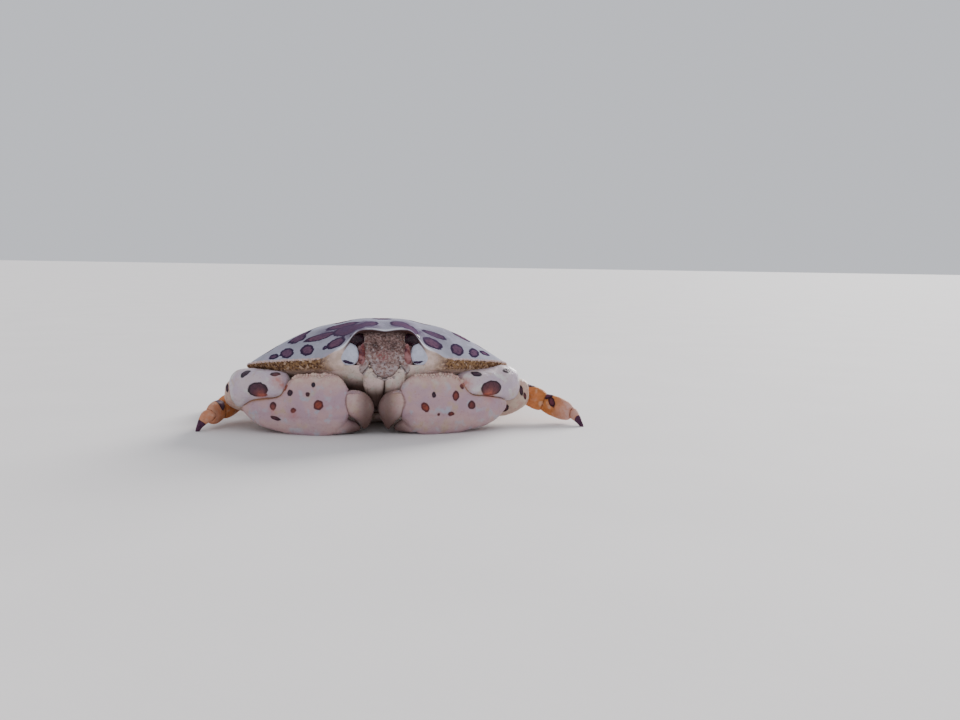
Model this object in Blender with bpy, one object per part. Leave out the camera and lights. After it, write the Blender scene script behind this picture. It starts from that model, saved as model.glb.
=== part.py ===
"""A calico box crab (Hepatus epheliticus), life size, as a still model that sits on the floor.

The crab faces -Y, +Z is up and +X is the crab's own left side. Sizes are in millimetres and are
turned into metres as each piece is placed. The floor is Z = 0.

The shell, the underbody and the mouth are modelled in the crab's own level frame, and one empty
tips that frame nose up. The claws and the walking legs are placed straight in the floor's frame.
Every piece is a ball drawn out into the shape of one shell segment. Where one segment turns in
another, the outer one gets a socket: the inner one's shape, swollen by the joint gap.
"""

import math

import bmesh
import bpy
from mathutils import Vector

MM = 0.001
UP = Vector((0.0, 0.0, 1.0))

# The whole animal
SHELL_WIDTH = 64.0
NOSE_UP = math.radians(10.0)
TILT_CENTRE = Vector((0.0, -2.0, 14.4))  # middle of the shell's widest line, above the floor
TO_BOX_CENTRE = Vector((-3.3, -7.4, 0.0))  # brings the middle of the whole box to the origin
JOINT_GAP = 0.3

# The shell, measured from the middle of its widest line
HALF_WIDTH = SHELL_WIDTH / 2
SHELL_FRONT = 20.6
SHELL_BACK = 25.0
FRONT_FULLNESS = 2.15
BACK_RADII = (32.0, 28.9, 25.6, 24.3, 24.9, 25.9, 25.0)  # every 15 degrees, side to back
DOME_RISE = 11.5
SNOUT_RISE = 6.9
SNOUT_HALF_WIDTH = 8.5
BROW_NOTCH_DEPTH = 0.4
BROW_NOTCH_WIDTH = 2.0
BACK_EDGE_RISE = 2.6
RIM_RISE = 1.25  # the edge curls up beside the swellings of the eyes
RIM_RISE_PLACE = 11.2
RIM_RISE_WIDTH = 2.3
CHEEK_HOLLOW = 0.55  # shallow groove between the middle and side regions of the shell
LIP = 0.7
SHELL_FLOOR = -1.2

# The underbody, as (height, half width, reach ahead, reach behind, how far the cheeks stand out) of
# its level outlines
UNDERBODY_TOP = SHELL_FLOOR - JOINT_GAP
UNDERBODY_OUTLINES = (
    (-11.9, 6.0, 8.0, 11.5, 0.0),
    (-11.6, 10.0, 11.4, 15.2, 0.0),
    (-8.6, 12.2, 14.6, 17.2, 0.0),
    (-5.4, 15.0, 17.2, 19.2, 1.5),
    (-3.3, 22.0, 18.7, 21.2, 3.6),
    (-2.2, 27.2, 19.3, 22.4, 2.6),
    (UNDERBODY_TOP, 28.6, 19.7, 23.2, 1.4),
)

# Sides, by the sign of X
SIDES = {"left": 1, "right": -1}

# Both ends of each claw segment, and how far the wrist's and the palm's edges are from its axis,
# from the near end to the far end. The claws are folded to the face, the left one further in.
CLAW_JOINTS = {
    "left": {
        "arm": ((9.6, -7.8, 6.2), (37.2, -7.6, 8.4)),
        "arm_below": (2.6, 3.4, 4.8, 6.0, 4.8),
        "wrist": ((33.3, -9.6, 9.8), (17.7, -18.8, 11.2)),
        "wrist_above": (5.0, 5.2, 4.4, 3.9, 3.6),
        "wrist_below": (4.0, 3.6, 3.2, 2.8, 2.8),
        "palm": ((30.0, -15.2, 6.8), (3.7, -22.0, 6.3)),
        "palm_above": (0.2, 1.4, 2.3, 3.0, 7.0, 7.6, 7.7, 7.9, 7.4),
        "palm_below": (2.6, 4.8, 5.8, 6.3, 6.9, 7.1, 7.0, 6.1, 3.6),
        "fixed_finger": ((9.0, -20.2, 2.9), (2.4, -19.8, 1.3)),
        "finger": ((5.1, -21.5, 9.8), (0.6, -20.6, 1.5)),
    },
    "right": {
        "arm": ((9.6, -7.8, 6.2), (37.2, -7.4, 8.6)),
        "arm_below": (2.6, 3.2, 3.8, 4.6, 4.4),
        "wrist": ((34.9, -9.2, 9.9), (22.4, -18.4, 11.0)),
        "wrist_above": (4.4, 4.5, 4.1, 3.8, 3.8),
        "wrist_below": (5.4, 4.9, 3.4, 2.8, 2.8),
        "palm": ((32.4, -13.9, 5.6), (8.4, -22.0, 6.3)),
        "palm_above": (0.4, 2.9, 3.3, 3.6, 7.3, 7.9, 8.0, 8.2, 7.6),
        "palm_below": (1.8, 3.8, 4.9, 5.7, 6.4, 6.8, 6.8, 6.0, 3.6),
        "fixed_finger": ((13.0, -20.2, 2.9), (5.6, -19.8, 1.3)),
        "finger": ((9.2, -21.4, 9.8), (4.3, -20.4, 1.5)),
    },
}

# Joints of the walking legs from hip to tip. The first pair reaches out, each side in its own way,
# and the others are folded back under the edge of the shell.
LEG_JOINTS = {
    "leg1_left": ((11.0, -1.0, 5.6), (15.5, -0.8, 6.2), (35.6, -1.6, 7.8), (42.2, -5.4, 4.9),
                  (48.4, -9.2, 2.5), (49.8, -14.4, -0.4)),
    "leg1_right": ((11.0, -1.0, 5.6), (15.5, -0.8, 6.2), (34.4, 1.0, 5.4), (38.4, -5.4, 3.9),
                   (40.3, -12.2, 3.5), (43.2, -13.4, -0.4)),
    "leg2_left": ((10.8, 4.3, 5.2), (15.0, 4.8, 5.7), (32.6, 9.8, 7.9), (37.2, 14.4, 5.9),
                  (40.4, 21.2, 3.9), (40.9, 27.4, -0.4)),
    "leg2_right": ((10.8, 4.3, 5.2), (15.0, 4.8, 5.7), (32.0, 9.6, 7.9), (35.8, 13.9, 5.9),
                   (38.4, 20.8, 3.9), (39.0, 27.0, -0.4)),
    "leg3_left": ((10.0, 9.6, 4.8), (13.8, 10.8, 5.3), (26.6, 18.4, 7.9), (29.8, 23.6, 5.9),
                  (31.8, 30.4, 3.8), (31.5, 36.2, -0.4)),
    "leg3_right": ((10.0, 9.6, 4.8), (13.8, 10.8, 5.3), (26.6, 18.0, 7.9), (30.2, 23.0, 5.9),
                   (33.0, 29.4, 3.8), (33.4, 35.2, -0.4)),
    "leg4_left": ((8.6, 14.2, 4.5), (11.2, 16.2, 5.0), (18.8, 23.4, 7.9), (20.4, 28.2, 6.0),
                  (20.8, 33.6, 3.7), (19.8, 38.4, -0.4)),
    "leg4_right": ((8.6, 14.2, 4.5), (11.2, 16.2, 5.0), (18.8, 23.2, 7.9), (20.8, 27.8, 6.0),
                   (21.8, 33.0, 3.7), (21.4, 37.6, -0.4)),
}
LEG_SIZES = {"leg1": 1.0, "leg2": 1.0, "leg3": 0.93, "leg4": 0.78}

# Half heights and half widths of a full-size leg's segments, evenly spaced from near end to far end
LEG_SEGMENTS = {
    "coxa": {"high": (2.3, 2.5, 2.3), "wide": (2.1, 2.3, 2.1)},
    "merus": {"high": (1.7, 2.5, 2.9, 2.9, 2.6), "wide": (1.4, 1.8, 1.9, 1.9, 1.8)},
    "carpus": {"high": (2.2, 2.5, 2.8, 2.7), "wide": (1.4, 1.7, 1.9, 1.8)},
    "propodus": {"high": (2.3, 2.6, 2.6, 2.1), "wide": (1.3, 1.5, 1.5, 1.3)},
    "dactyl": {"high": (1.4, 1.5, 1.1, 0.7, 0.4), "wide": (1.0, 1.0, 0.8, 0.5, 0.35)},
}
JOINT_INSET = 1.1  # how far a segment starts inside the one before it

COLOURS = {  # base colour, roughness
    "shell": ((0.56, 0.50, 0.49), 0.35),
    "underside": ((0.62, 0.54, 0.45), 0.5),
    "claw": ((0.66, 0.59, 0.54), 0.4),
    "leg": ((0.62, 0.36, 0.22), 0.4),
    "eye": ((0.02, 0.015, 0.02), 0.15),
    "feeler": ((0.42, 0.24, 0.18), 0.5),
}


def clear_scene():
    for old in list(bpy.data.objects):
        bpy.data.objects.remove(old)


def new_collection(name):
    made = bpy.data.collections.new(name)
    bpy.context.scene.collection.children.link(made)
    return made


def new_empty(name, parent=None):
    empty = bpy.data.objects.new(name, None)
    empty.parent = parent
    PARTS.objects.link(empty)
    return empty


def finish(name):
    found = bpy.data.materials.get(name)
    if found:
        return found
    made = bpy.data.materials.new(name)
    made.use_nodes = True
    shader = made.node_tree.nodes["Principled BSDF"]
    colour, roughness = COLOURS[name]
    shader.inputs["Base Color"].default_value = (*colour, 1.0)
    shader.inputs["Roughness"].default_value = roughness
    shader.inputs["Metallic"].default_value = 0.0
    return made


def row(values, share):
    """The smooth value at a share from 0 to 1 along evenly spaced values (Catmull-Rom)."""
    place = min(max(share, 0.0), 1.0) * (len(values) - 1)
    low = min(int(place), len(values) - 2)
    t = place - low
    b, c = values[low], values[low + 1]
    a = values[low - 1] if low > 0 else 2 * b - c
    d = values[low + 2] if low + 2 < len(values) else 2 * c - b
    return b + 0.5 * t * (c - a + t * (2 * a - 5 * b + 4 * c - d + t * (3 * (b - c) + d - a)))


def signed_power(value, power):
    return math.copysign(abs(value) ** power, value)


def ball(name, place, material, parent, segments, rings, lowest=None, home=None):
    """A sphere whose points go to place(angle round, angle from pole), in millimetres.

    With lowest, the ball is cut off past that angle from the pole and closed flat there.
    """
    bm = bmesh.new()
    bmesh.ops.create_uvsphere(bm, u_segments=segments, v_segments=rings, radius=1.0)
    angles = {v: (math.atan2(v.co.y, v.co.x), math.acos(max(-1.0, min(1.0, v.co.z)))) for v in bm.verts}
    if lowest is not None:
        gone = [v for v, (_, polar) in angles.items() if polar > lowest]
        bmesh.ops.delete(bm, geom=gone, context="VERTS")
        bmesh.ops.holes_fill(bm, edges=[e for e in bm.edges if e.is_boundary], sides=0)
    for v in bm.verts:
        v.co = place(*angles[v]) * MM
    if bm.calc_volume(signed=True) < 0:
        bmesh.ops.reverse_faces(bm, faces=bm.faces)
    mesh = bpy.data.meshes.new(name)
    bm.to_mesh(mesh)
    bm.free()
    mesh.shade_smooth()
    mesh.set_sharp_from_angle(angle=math.radians(40))
    mesh.materials.append(finish(material))
    made = bpy.data.objects.new(name, mesh)
    made.parent = parent
    (home or PARTS).objects.link(made)
    if home == CUTTERS:
        hide(made)
    return made


def hide(cutter):
    cutter.hide_render = True
    cutter.display_type = "WIRE"


def segment(name, side, start, end, above, below, ahead, behind, material, parent=None,
            bluntness=4.0, squareness=2.3, bow=0.0, segments=12, rings=8, home=None):
    """One shell segment drawn out from start to end, given for the +X side.

    above, below, ahead and behind are how far its skin is from its axis, evenly spaced along it,
    and bow lifts its middle. With home=CUTTERS it is only a shape that others are joined with.
    """
    near, far = (Vector((side * p[0], p[1], p[2])) for p in (start, end))
    axis = (far - near).normalized()
    length = (far - near).length
    upright = (UP - axis * axis.dot(UP)).normalized()
    forward = axis.cross(upright) * side

    def place(around, polar):
        share = (1 - math.cos(polar)) / 2
        full = (1 - abs(2 * share - 1) ** bluntness) ** (1 / bluntness)
        out = signed_power(math.cos(around), 2 / squareness)
        lift = signed_power(math.sin(around), 2 / squareness)
        width = row(ahead if out > 0 else behind, share)
        height = row(above if lift > 0 else below, share)
        middle = near + axis * (length * share) + upright * (4 * bow * share * (1 - share))
        return middle + forward * (out * width * full) + upright * (lift * height * full)

    return ball(name, place, material, parent or CRAB, segments, rings, home=home)


def as_cutter(shape, swollen):
    """A hidden copy of a piece, swollen by that much, that other pieces are cut with."""
    cutter = bpy.data.objects.new(shape.name + "_cutter", shape.data)
    cutter.parent = shape.parent
    hide(cutter)
    CUTTERS.objects.link(cutter)
    swell = cutter.modifiers.new("Gap", "DISPLACE")
    swell.mid_level = 0.0
    swell.strength = swollen * MM
    return cutter


def combine(target, other, operation):
    step = target.modifiers.new(operation.title(), "BOOLEAN")
    step.object = other
    step.operation = operation
    step.solver = "EXACT"


def socket(outer, inner, gap=JOINT_GAP):
    combine(outer, as_cutter(inner, gap), "DIFFERENCE")


def stand_on_floor(*pieces):
    """Cuts a small flat where a piece would dip under the floor."""
    for piece in pieces:
        combine(piece, FLOOR_CUTTER, "DIFFERENCE")


def floor_cutter():
    bm = bmesh.new()
    bmesh.ops.create_cube(bm, size=1.0)
    mesh = bpy.data.meshes.new("floor_cutter")
    bm.to_mesh(mesh)
    bm.free()
    slab = bpy.data.objects.new("floor_cutter", mesh)
    slab.scale = (0.2, 0.2, 0.02)
    slab.location = (0.0, 0.0, -0.01)
    hide(slab)
    CUTTERS.objects.link(slab)
    return slab


# ---- shell ----


def shell_outline(around):
    """(X, Y) of the shell's edge in the direction around, -90 degrees being straight ahead."""
    c, s = math.cos(around), math.sin(around)
    if s <= 0:
        power = 2 / FRONT_FULLNESS
        return HALF_WIDTH * signed_power(c, power), SHELL_FRONT * signed_power(s, power)
    radius = row(BACK_RADII, math.atan2(s, abs(c)) / (math.pi / 2))
    return radius * c, radius * s


def snout(x, rho=1.0):
    """1 over the brow and the eyes, falling to 0 beside them, and more gently further back."""
    reach = SNOUT_HALF_WIDTH + 6 * (1 - rho)
    return 1 / (1 + (abs(x) / reach) ** (2.5 + 5.5 * rho**6))


def shell_height(x, y, rho):
    """Height of the dome, with rho the share of the way from its middle to its edge."""
    height = DOME_RISE * (1 - rho**2)
    if y < 0:
        brow = SNOUT_RISE * snout(x, rho) - BROW_NOTCH_DEPTH * math.exp(-((x / BROW_NOTCH_WIDTH) ** 2))
        curl = RIM_RISE * math.exp(-(((abs(x) - RIM_RISE_PLACE) / RIM_RISE_WIDTH) ** 2)) * rho**8
        height += (brow * rho**2.1 + curl) * min(1.0, -y / 5)
    else:
        height += BACK_EDGE_RISE * rho**2 * (y / SHELL_BACK) ** 2
    groove = math.exp(-(((abs(x) - 10.5) / 3.2) ** 2)) * math.exp(-(((y - 1) / 9) ** 2))
    return height - CHEEK_HOLLOW * groove


def carapace():
    rings = 18
    step = math.pi / rings
    equator = math.pi / 2

    def place(around, polar):
        around -= 0.35 * math.sin(around + math.pi / 2)  # more points round the brow
        edge_x, edge_y = shell_outline(around)
        rho = min(1.0, polar / equator) ** 0.92
        x, y = edge_x * rho, edge_y * rho
        below = max(0, round((polar - equator) / step))
        face = snout(x * 0.93) if y < 0 else 0.0
        if below == 0:
            return Vector((x, y, shell_height(x, y, rho)))
        edge_height = shell_height(edge_x, edge_y, 1.0)
        reach = math.hypot(edge_x, edge_y)
        inset = (0.35, 1.2 + 0.5 * face, 2.0 + 0.6 * face)[below - 1]
        height = (edge_height - LIP, edge_height - 1.25 * LIP, SHELL_FLOOR)[below - 1]
        shrink = 1 - inset / reach
        return Vector((edge_x * shrink, edge_y * shrink, max(height, SHELL_FLOOR)))

    return ball("carapace", place, "shell", BODY, 48, rings, lowest=equator + 3.5 * step)


# ---- underbody ----


def thorax():
    rings = 2 * (len(UNDERBODY_OUTLINES))
    step = math.pi / rings

    def place(around, polar):
        level = round(polar / step)
        around = -around
        if level == 0:
            return Vector((0.0, 1.5, UNDERBODY_OUTLINES[0][0]))
        height, half_width, front, back, cheek = UNDERBODY_OUTLINES[level - 1]
        x, y = shell_outline(around)
        along = y * (front / SHELL_FRONT if y < 0 else back / SHELL_BACK)
        half_width += cheek * max(0.0, min(1.0, (-y - 4) / 6))
        return Vector((x * half_width / HALF_WIDTH, along, height))

    return ball("thorax", place, "underside", BODY, 24, rings, lowest=math.pi / 2 + 0.5 * step)


def abdomen():
    """The tail flap: a plate that folds under from the back of the shell and lies on the underbody."""
    spine = ((24.2, -0.4), (23.2, -6.4), (18.6, -11.6), (9.0, -13.3), (-2.0, -13.3), (-6.0, -12.9))
    half_widths = (7.6, 7.8, 6.8, 5.2, 3.6, 1.2)

    def place(around, polar):
        share = (1 - math.cos(polar)) / 2
        full = (1 - abs(2 * share - 1) ** 6) ** (1 / 6)
        y, z = (row([p[i] for p in spine], share) for i in (0, 1))
        ahead = [row([p[i] for p in spine], min(1, share + 0.02)) for i in (0, 1)]
        behind = [row([p[i] for p in spine], max(0, share - 0.02)) for i in (0, 1)]
        run = Vector((0, ahead[0] - behind[0], ahead[1] - behind[1])).normalized()
        normal = run.cross(Vector((1, 0, 0)))
        out = signed_power(math.cos(around), 2 / 3)
        thick = signed_power(math.sin(around), 2 / 3)
        x = out * row(half_widths, share) * full
        return Vector((x, y, z)) + normal * (thick * 0.9 * full)

    return ball("abdomen", place, "underside", BODY, 12, 12)


# ---- face ----


def eye(side):
    start, end = (4.2, -17.6, 4.7), (8.1, -19.6, 4.4)
    high, wide = (1.0, 1.4, 1.55, 1.4), (0.8, 1.2, 1.4, 1.3)
    return segment(f"eye_{side}", SIDES[side], start, end, high, high, wide, wide, "eye", BODY,
                   bluntness=2.4, squareness=2.0, segments=8, rings=7)


def orbit_lobe(side):
    """The pale swelling of the shell below each eye."""
    start, end = (6.1, -19.4, 1.5), (11.0, -17.8, 0.4)
    above, below, thick = (2.2, 2.9, 2.5, 0.6), (2.0, 2.6, 2.3, 0.8), (1.0, 1.3, 1.3, 1.0)
    return segment(f"orbit_lobe_{side}", SIDES[side], start, end, above, below, thick, thick, "shell",
                   BODY, bluntness=3.2, segments=10, rings=7, home=CUTTERS)


def antenna(side):
    start, end = (5.3, -19.1, -1.3), (5.1, -20.0, 3.4)
    thick = (0.9, 1.0, 0.8, 0.6, 0.4)
    return segment(f"antenna_{side}", SIDES[side], start, end, thick, thick, thick, thick, "feeler",
                   BODY, bow=0.3, segments=6, rings=6)


def mouthpart(side):
    """One of the two outer jaw legs, a plate that covers half of the mouth."""
    sign = SIDES[side]
    low, high = Vector((0.0, -12.6, -10.4)), Vector((0.0, -19.8, -1.8))
    half_widths = (2.4, 3.6, 4.4, 4.8, 4.5, 3.4)
    run = (high - low).normalized()
    outward = run.cross(Vector((1, 0, 0))).normalized()

    def place(around, polar):
        share = (1 - math.cos(polar)) / 2
        full = (1 - abs(2 * share - 1) ** 4) ** (1 / 4)
        out = signed_power(math.cos(around), 2 / 3)
        thick = signed_power(math.sin(around), 2 / 3)
        width = row(half_widths, share) * full
        x = JOINT_GAP / 2 + (1 + out) * width / 2
        depth = thick * 1.15 * full + 0.35 * (1 - (x / 6) ** 2)
        return low.lerp(high, share) + Vector((sign * x, 0, 0)) - outward * depth

    return ball(f"mouthpart_{side}", place, "underside", BODY, 12, 8)


# ---- claws ----


def claw(side):
    sign = SIDES[side]
    joints = CLAW_JOINTS[side]
    arm = segment(f"claw_arm_{side}", sign, *joints["arm"],
                  (2.6, 3.2, 3.6, 4.0, 3.8), joints["arm_below"],
                  (2.0, 2.3, 2.5, 2.7, 2.6), (2.0, 2.2, 2.4, 2.6, 2.4), "claw", segments=10, rings=7)
    wrist = segment(f"claw_wrist_{side}", sign, *joints["wrist"],
                    joints["wrist_above"], joints["wrist_below"],
                    (3.2, 4.2, 4.6, 4.4, 3.6), (3.2, 4.0, 4.2, 3.8, 2.8), "claw",
                    bluntness=3.8, squareness=2.5, segments=14, rings=9)
    palm = segment(f"claw_palm_{side}", sign, *joints["palm"],
                   joints["palm_above"], joints["palm_below"],
                   (1.0, 2.4, 3.4, 4.0, 4.2, 4.1, 3.8, 3.3, 2.5),
                   (1.2, 2.2, 2.9, 3.3, 3.4, 3.3, 3.1, 2.6, 1.8), "claw",
                   bluntness=5.0, squareness=2.4, segments=14, rings=11)
    fixed_finger = segment(f"fixed_finger_{side}", sign, *joints["fixed_finger"],
                           (2.0, 2.0, 1.6, 0.8), (2.4, 2.3, 1.5, 0.8),
                           (2.4, 2.2, 1.7, 0.8), (2.2, 2.1, 1.7, 0.8), "claw",
                           segments=10, rings=7, home=CUTTERS)
    finger = segment(f"claw_finger_{side}", sign, *joints["finger"],
                     (2.2, 2.6, 2.5, 2.1, 1.0), (3.0, 4.0, 3.9, 2.5, 0.9),
                     (1.5, 2.0, 2.1, 1.8, 0.8), (1.6, 2.1, 2.1, 1.7, 0.8), "claw",
                     bow=2.0, segments=10, rings=9)
    combine(palm, fixed_finger, "UNION")
    socket(palm, finger)
    socket(wrist, palm)
    socket(arm, wrist)
    socket(arm, palm)
    stand_on_floor(palm)
    return arm, wrist, palm, finger


# ---- walking legs ----


def leg(name, side):
    """The five segments of one walking leg, from the hip to the tip."""
    size = LEG_SIZES[name.split("_")[0]]
    joints = [Vector(p) for p in LEG_JOINTS[name]]
    made = []
    for number, (kind, sizes) in enumerate(LEG_SEGMENTS.items()):
        start, end = joints[number], joints[number + 1]
        if number:
            start = start - (end - start).normalized() * JOINT_INSET * size
        high = [size * value for value in sizes["high"]]
        wide = [size * value for value in sizes["wide"]]
        material = "underside" if kind == "coxa" else "leg"
        made.append(segment(f"{name}_{kind}", SIDES[side], start, end, high, high, wide, wide, material,
                            bluntness=5.0, bow=0.5 * size if kind in ("merus", "dactyl") else 0.0,
                            segments=8, rings=5))
    for outer, inner in zip(made, made[1:]):
        socket(outer, inner)
    stand_on_floor(made[-1])
    return made


clear_scene()
PARTS = new_collection("calico_crab")
CUTTERS = new_collection("cutters")
CUTTERS.hide_render = True
CRAB = new_empty("crab")
CRAB.location = TO_BOX_CENTRE * MM
BODY = new_empty("body_frame", CRAB)
BODY.location = TILT_CENTRE * MM
BODY.rotation_euler = (-NOSE_UP, 0.0, 0.0)
FLOOR_CUTTER = floor_cutter()

shell = carapace()
chest = thorax()
tail = abdomen()
socket(chest, tail)
socket(shell, tail)
stand_on_floor(tail, chest)
for which in SIDES:
    combine(shell, orbit_lobe(which), "UNION")
    socket(shell, eye(which))
    feeler = antenna(which)
    socket(shell, feeler)
    jaw = mouthpart(which)
    socket(jaw, feeler)
    socket(chest, jaw)
    socket(shell, jaw)
    arm_made, wrist_made, palm_made, finger_made = claw(which)
    socket(chest, arm_made)
    socket(chest, wrist_made)
    socket(chest, palm_made)
    socket(jaw, palm_made)
    socket(jaw, finger_made)
for leg_name in LEG_JOINTS:
    leg_side = leg_name.split("_")[1]
    segments_made = leg(leg_name, leg_side)
    socket(chest, segments_made[0])
    socket(chest, segments_made[1])
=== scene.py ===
import math
import random

import bmesh
import bpy
import numpy as np
from mathutils import Matrix, Vector, noise
from mathutils.bvhtree import BVHTree


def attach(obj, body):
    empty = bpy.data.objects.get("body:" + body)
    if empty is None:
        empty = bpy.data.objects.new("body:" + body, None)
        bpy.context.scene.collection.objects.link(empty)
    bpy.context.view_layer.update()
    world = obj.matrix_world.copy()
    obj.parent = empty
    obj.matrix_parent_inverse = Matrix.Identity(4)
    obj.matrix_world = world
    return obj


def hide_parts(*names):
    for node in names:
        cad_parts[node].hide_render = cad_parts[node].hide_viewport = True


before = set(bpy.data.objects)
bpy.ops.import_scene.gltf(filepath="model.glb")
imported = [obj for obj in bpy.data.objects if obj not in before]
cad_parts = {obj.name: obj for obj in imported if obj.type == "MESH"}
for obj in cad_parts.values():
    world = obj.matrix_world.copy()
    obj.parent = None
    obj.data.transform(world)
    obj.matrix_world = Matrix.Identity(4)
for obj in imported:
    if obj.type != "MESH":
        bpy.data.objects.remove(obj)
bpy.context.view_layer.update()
mm = 0.001
made = []

stance = {
    "noseUp": 10.0,  # degrees the shell is tipped up at the front
    "tiltCentre": (0.0, -2.0, 14.4),
    "shift": (-3.3, -7.4, 0.0),  # puts the middle of the whole box over the origin
}
sides = {"left": 1, "right": -1}


# Shapes: smooth rows of values, and skins made from rows of points

def rowAt(values, share):
    values = np.asarray(values, float)
    ends = ([2 * values[0] - values[1]], values, [2 * values[-1] - values[-2]])
    padded = np.concatenate(ends)
    place = np.clip(share, 0, 1) * (len(values) - 1)
    low = np.minimum(place.astype(int), len(values) - 2)
    t = place - low
    a, b, c, d = (padded[low + i] for i in range(4))
    return b + 0.5 * t * (c - a + t * (2 * a - 5 * b + 4 * c - d + t * (3 * (b - c) + d - a)))


def signedPower(value, power):
    return np.sign(value) * np.abs(value) ** power


def bell(value, width):
    return np.exp(-((value / width) ** 2))


def step(value, start, end):
    t = np.clip((value - start) / (end - start), 0, 1)
    return t * t * (3 - 2 * t)


def stack(*parts):
    return np.stack(np.broadcast_arrays(*parts), axis=-1).astype(float)


def tipped(points):  # from the crab's level frame to the floor's frame
    angle = math.radians(stance["noseUp"])
    c, s = math.cos(angle), math.sin(angle)
    x, y, z = (points[..., i] for i in range(3))
    turned = stack(x, y * c + z * s, z * c - y * s)
    return turned + np.array(stance["tiltCentre"]) + np.array(stance["shift"])


def levelled(points):  # the other way
    angle = math.radians(stance["noseUp"])
    c, s = math.cos(angle), math.sin(angle)
    flat = points - np.array(stance["tiltCentre"]) - np.array(stance["shift"])
    x, y, z = (flat[..., i] for i in range(3))
    return stack(x, y * c - z * s, y * s + z * c)


def rough(points, size, seed=0.0, detail=1):  # soft noise from -1 to 1, with that grain size
    flat = points.reshape(-1, 3) / size + seed
    if detail == 1:
        found = [noise.noise(Vector(p)) for p in flat]
    else:
        found = [noise.fractal(Vector(p), 1.0, 2.0, detail) for p in flat]
    return np.array(found).reshape(points.shape[:-1])


def skin(name, grid):  # closes rows of points, given from one end to the other, into one skin
    rows, columns = grid.shape[:2]
    points = np.concatenate((grid.reshape(-1, 3), [grid[0].mean(0)], [grid[-1].mean(0)]))
    here = np.arange(columns)
    beside = (here + 1) % columns
    faces = []
    for r in range(rows - 1):
        low, high = r * columns, (r + 1) * columns
        faces += np.column_stack((low + here, low + beside, high + beside, high + here)).tolist()
    top = (rows - 1) * columns
    faces += np.column_stack((np.full(columns, rows * columns), beside, here)).tolist()
    faces += np.column_stack((np.full(columns, rows * columns + 1), top + here, top + beside)).tolist()
    mesh = bpy.data.meshes.new(name)
    mesh.from_pydata((points * mm).tolist(), [], faces)
    bm = bmesh.new()
    bm.from_mesh(mesh)
    if bm.calc_volume(signed=True) < 0:
        bmesh.ops.reverse_faces(bm, faces=bm.faces)
    bm.to_mesh(mesh)
    bm.free()
    mesh.shade_smooth()
    piece = bpy.data.objects.new(name, mesh)
    bpy.context.scene.collection.objects.link(piece)
    return piece


def limbGrid(side, start, end, above, below, ahead, behind, bluntness=4.0, squareness=2.3,
             bow=0.0, rows=60, columns=64):
    # One shell segment drawn out from start to end, given for the +X side
    near, far = (np.array((side * p[0], p[1], p[2])) for p in (start, end))
    length = np.linalg.norm(far - near)
    axis = (far - near) / length
    upright = np.array((0.0, 0.0, 1.0)) - axis * axis[2]
    upright /= np.linalg.norm(upright)
    forward = np.cross(axis, upright) * side
    polar = np.linspace(0.03, math.pi - 0.03, rows)[:, None]
    around = np.linspace(0, 2 * math.pi, columns, endpoint=False)[None, :]
    share = (1 - np.cos(polar)) / 2
    full = (1 - np.abs(2 * share - 1) ** bluntness) ** (1 / bluntness)
    out = signedPower(np.cos(around), 2 / squareness)
    lift = signedPower(np.sin(around), 2 / squareness)
    width = np.where(out > 0, rowAt(ahead, share), rowAt(behind, share)) * out * full
    height = np.where(lift > 0, rowAt(above, share), rowAt(below, share)) * lift * full
    height = height + 4 * bow * share * (1 - share)
    along = np.broadcast_to(share * length, width.shape)
    grid = near + axis * along[..., None] + forward * width[..., None] + upright * height[..., None]
    return grid + np.array(stance["shift"])


def joined(name, pieces):  # several skins as one object
    bm = bmesh.new()
    for piece in pieces:
        bm.from_mesh(piece.data)
        bpy.data.objects.remove(piece)
    mesh = bpy.data.meshes.new(name)
    bm.to_mesh(mesh)
    bm.free()
    mesh.shade_smooth()
    whole = bpy.data.objects.new(name, mesh)
    bpy.context.scene.collection.objects.link(whole)
    return whole


def baked(piece):  # the evaluated mesh put back on the object, with its modifiers gone
    evaluated = piece.evaluated_get(bpy.context.evaluated_depsgraph_get())
    mesh = bpy.data.meshes.new_from_object(evaluated)
    piece.modifiers.clear()
    old, piece.data = piece.data, mesh
    bpy.data.meshes.remove(old)
    return piece


def blended(piece, voxel, passes):  # overlapping skins melted into one
    remesh = piece.modifiers.new("Melt", "REMESH")
    remesh.mode = "VOXEL"
    remesh.voxel_size = voxel * mm
    remesh.use_smooth_shade = True
    soften = piece.modifiers.new("Soften", "SMOOTH")
    soften.factor = 0.5
    soften.iterations = passes
    return baked(piece)


def pointsOf(piece):
    flat = np.empty(len(piece.data.vertices) * 3)
    piece.data.vertices.foreach_get("co", flat)
    return flat.reshape(-1, 3) / mm


def normalsOf(piece):
    flat = np.empty(len(piece.data.vertices) * 3)
    piece.data.vertex_normals.foreach_get("vector", flat)
    return flat.reshape(-1, 3)


def moveTo(piece, points):
    piece.data.vertices.foreach_set("co", (points * mm).astype(np.float32).ravel())
    piece.data.update()


def raised(piece, amount):  # moves the skin along its normals
    moveTo(piece, pointsOf(piece) + normalsOf(piece) * amount[:, None])


def mark(piece, name, values):
    layer = piece.data.attributes.get(name) or piece.data.attributes.new(name, "FLOAT", "POINT")
    layer.data.foreach_set("value", np.asarray(values, np.float32).ravel())


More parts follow.
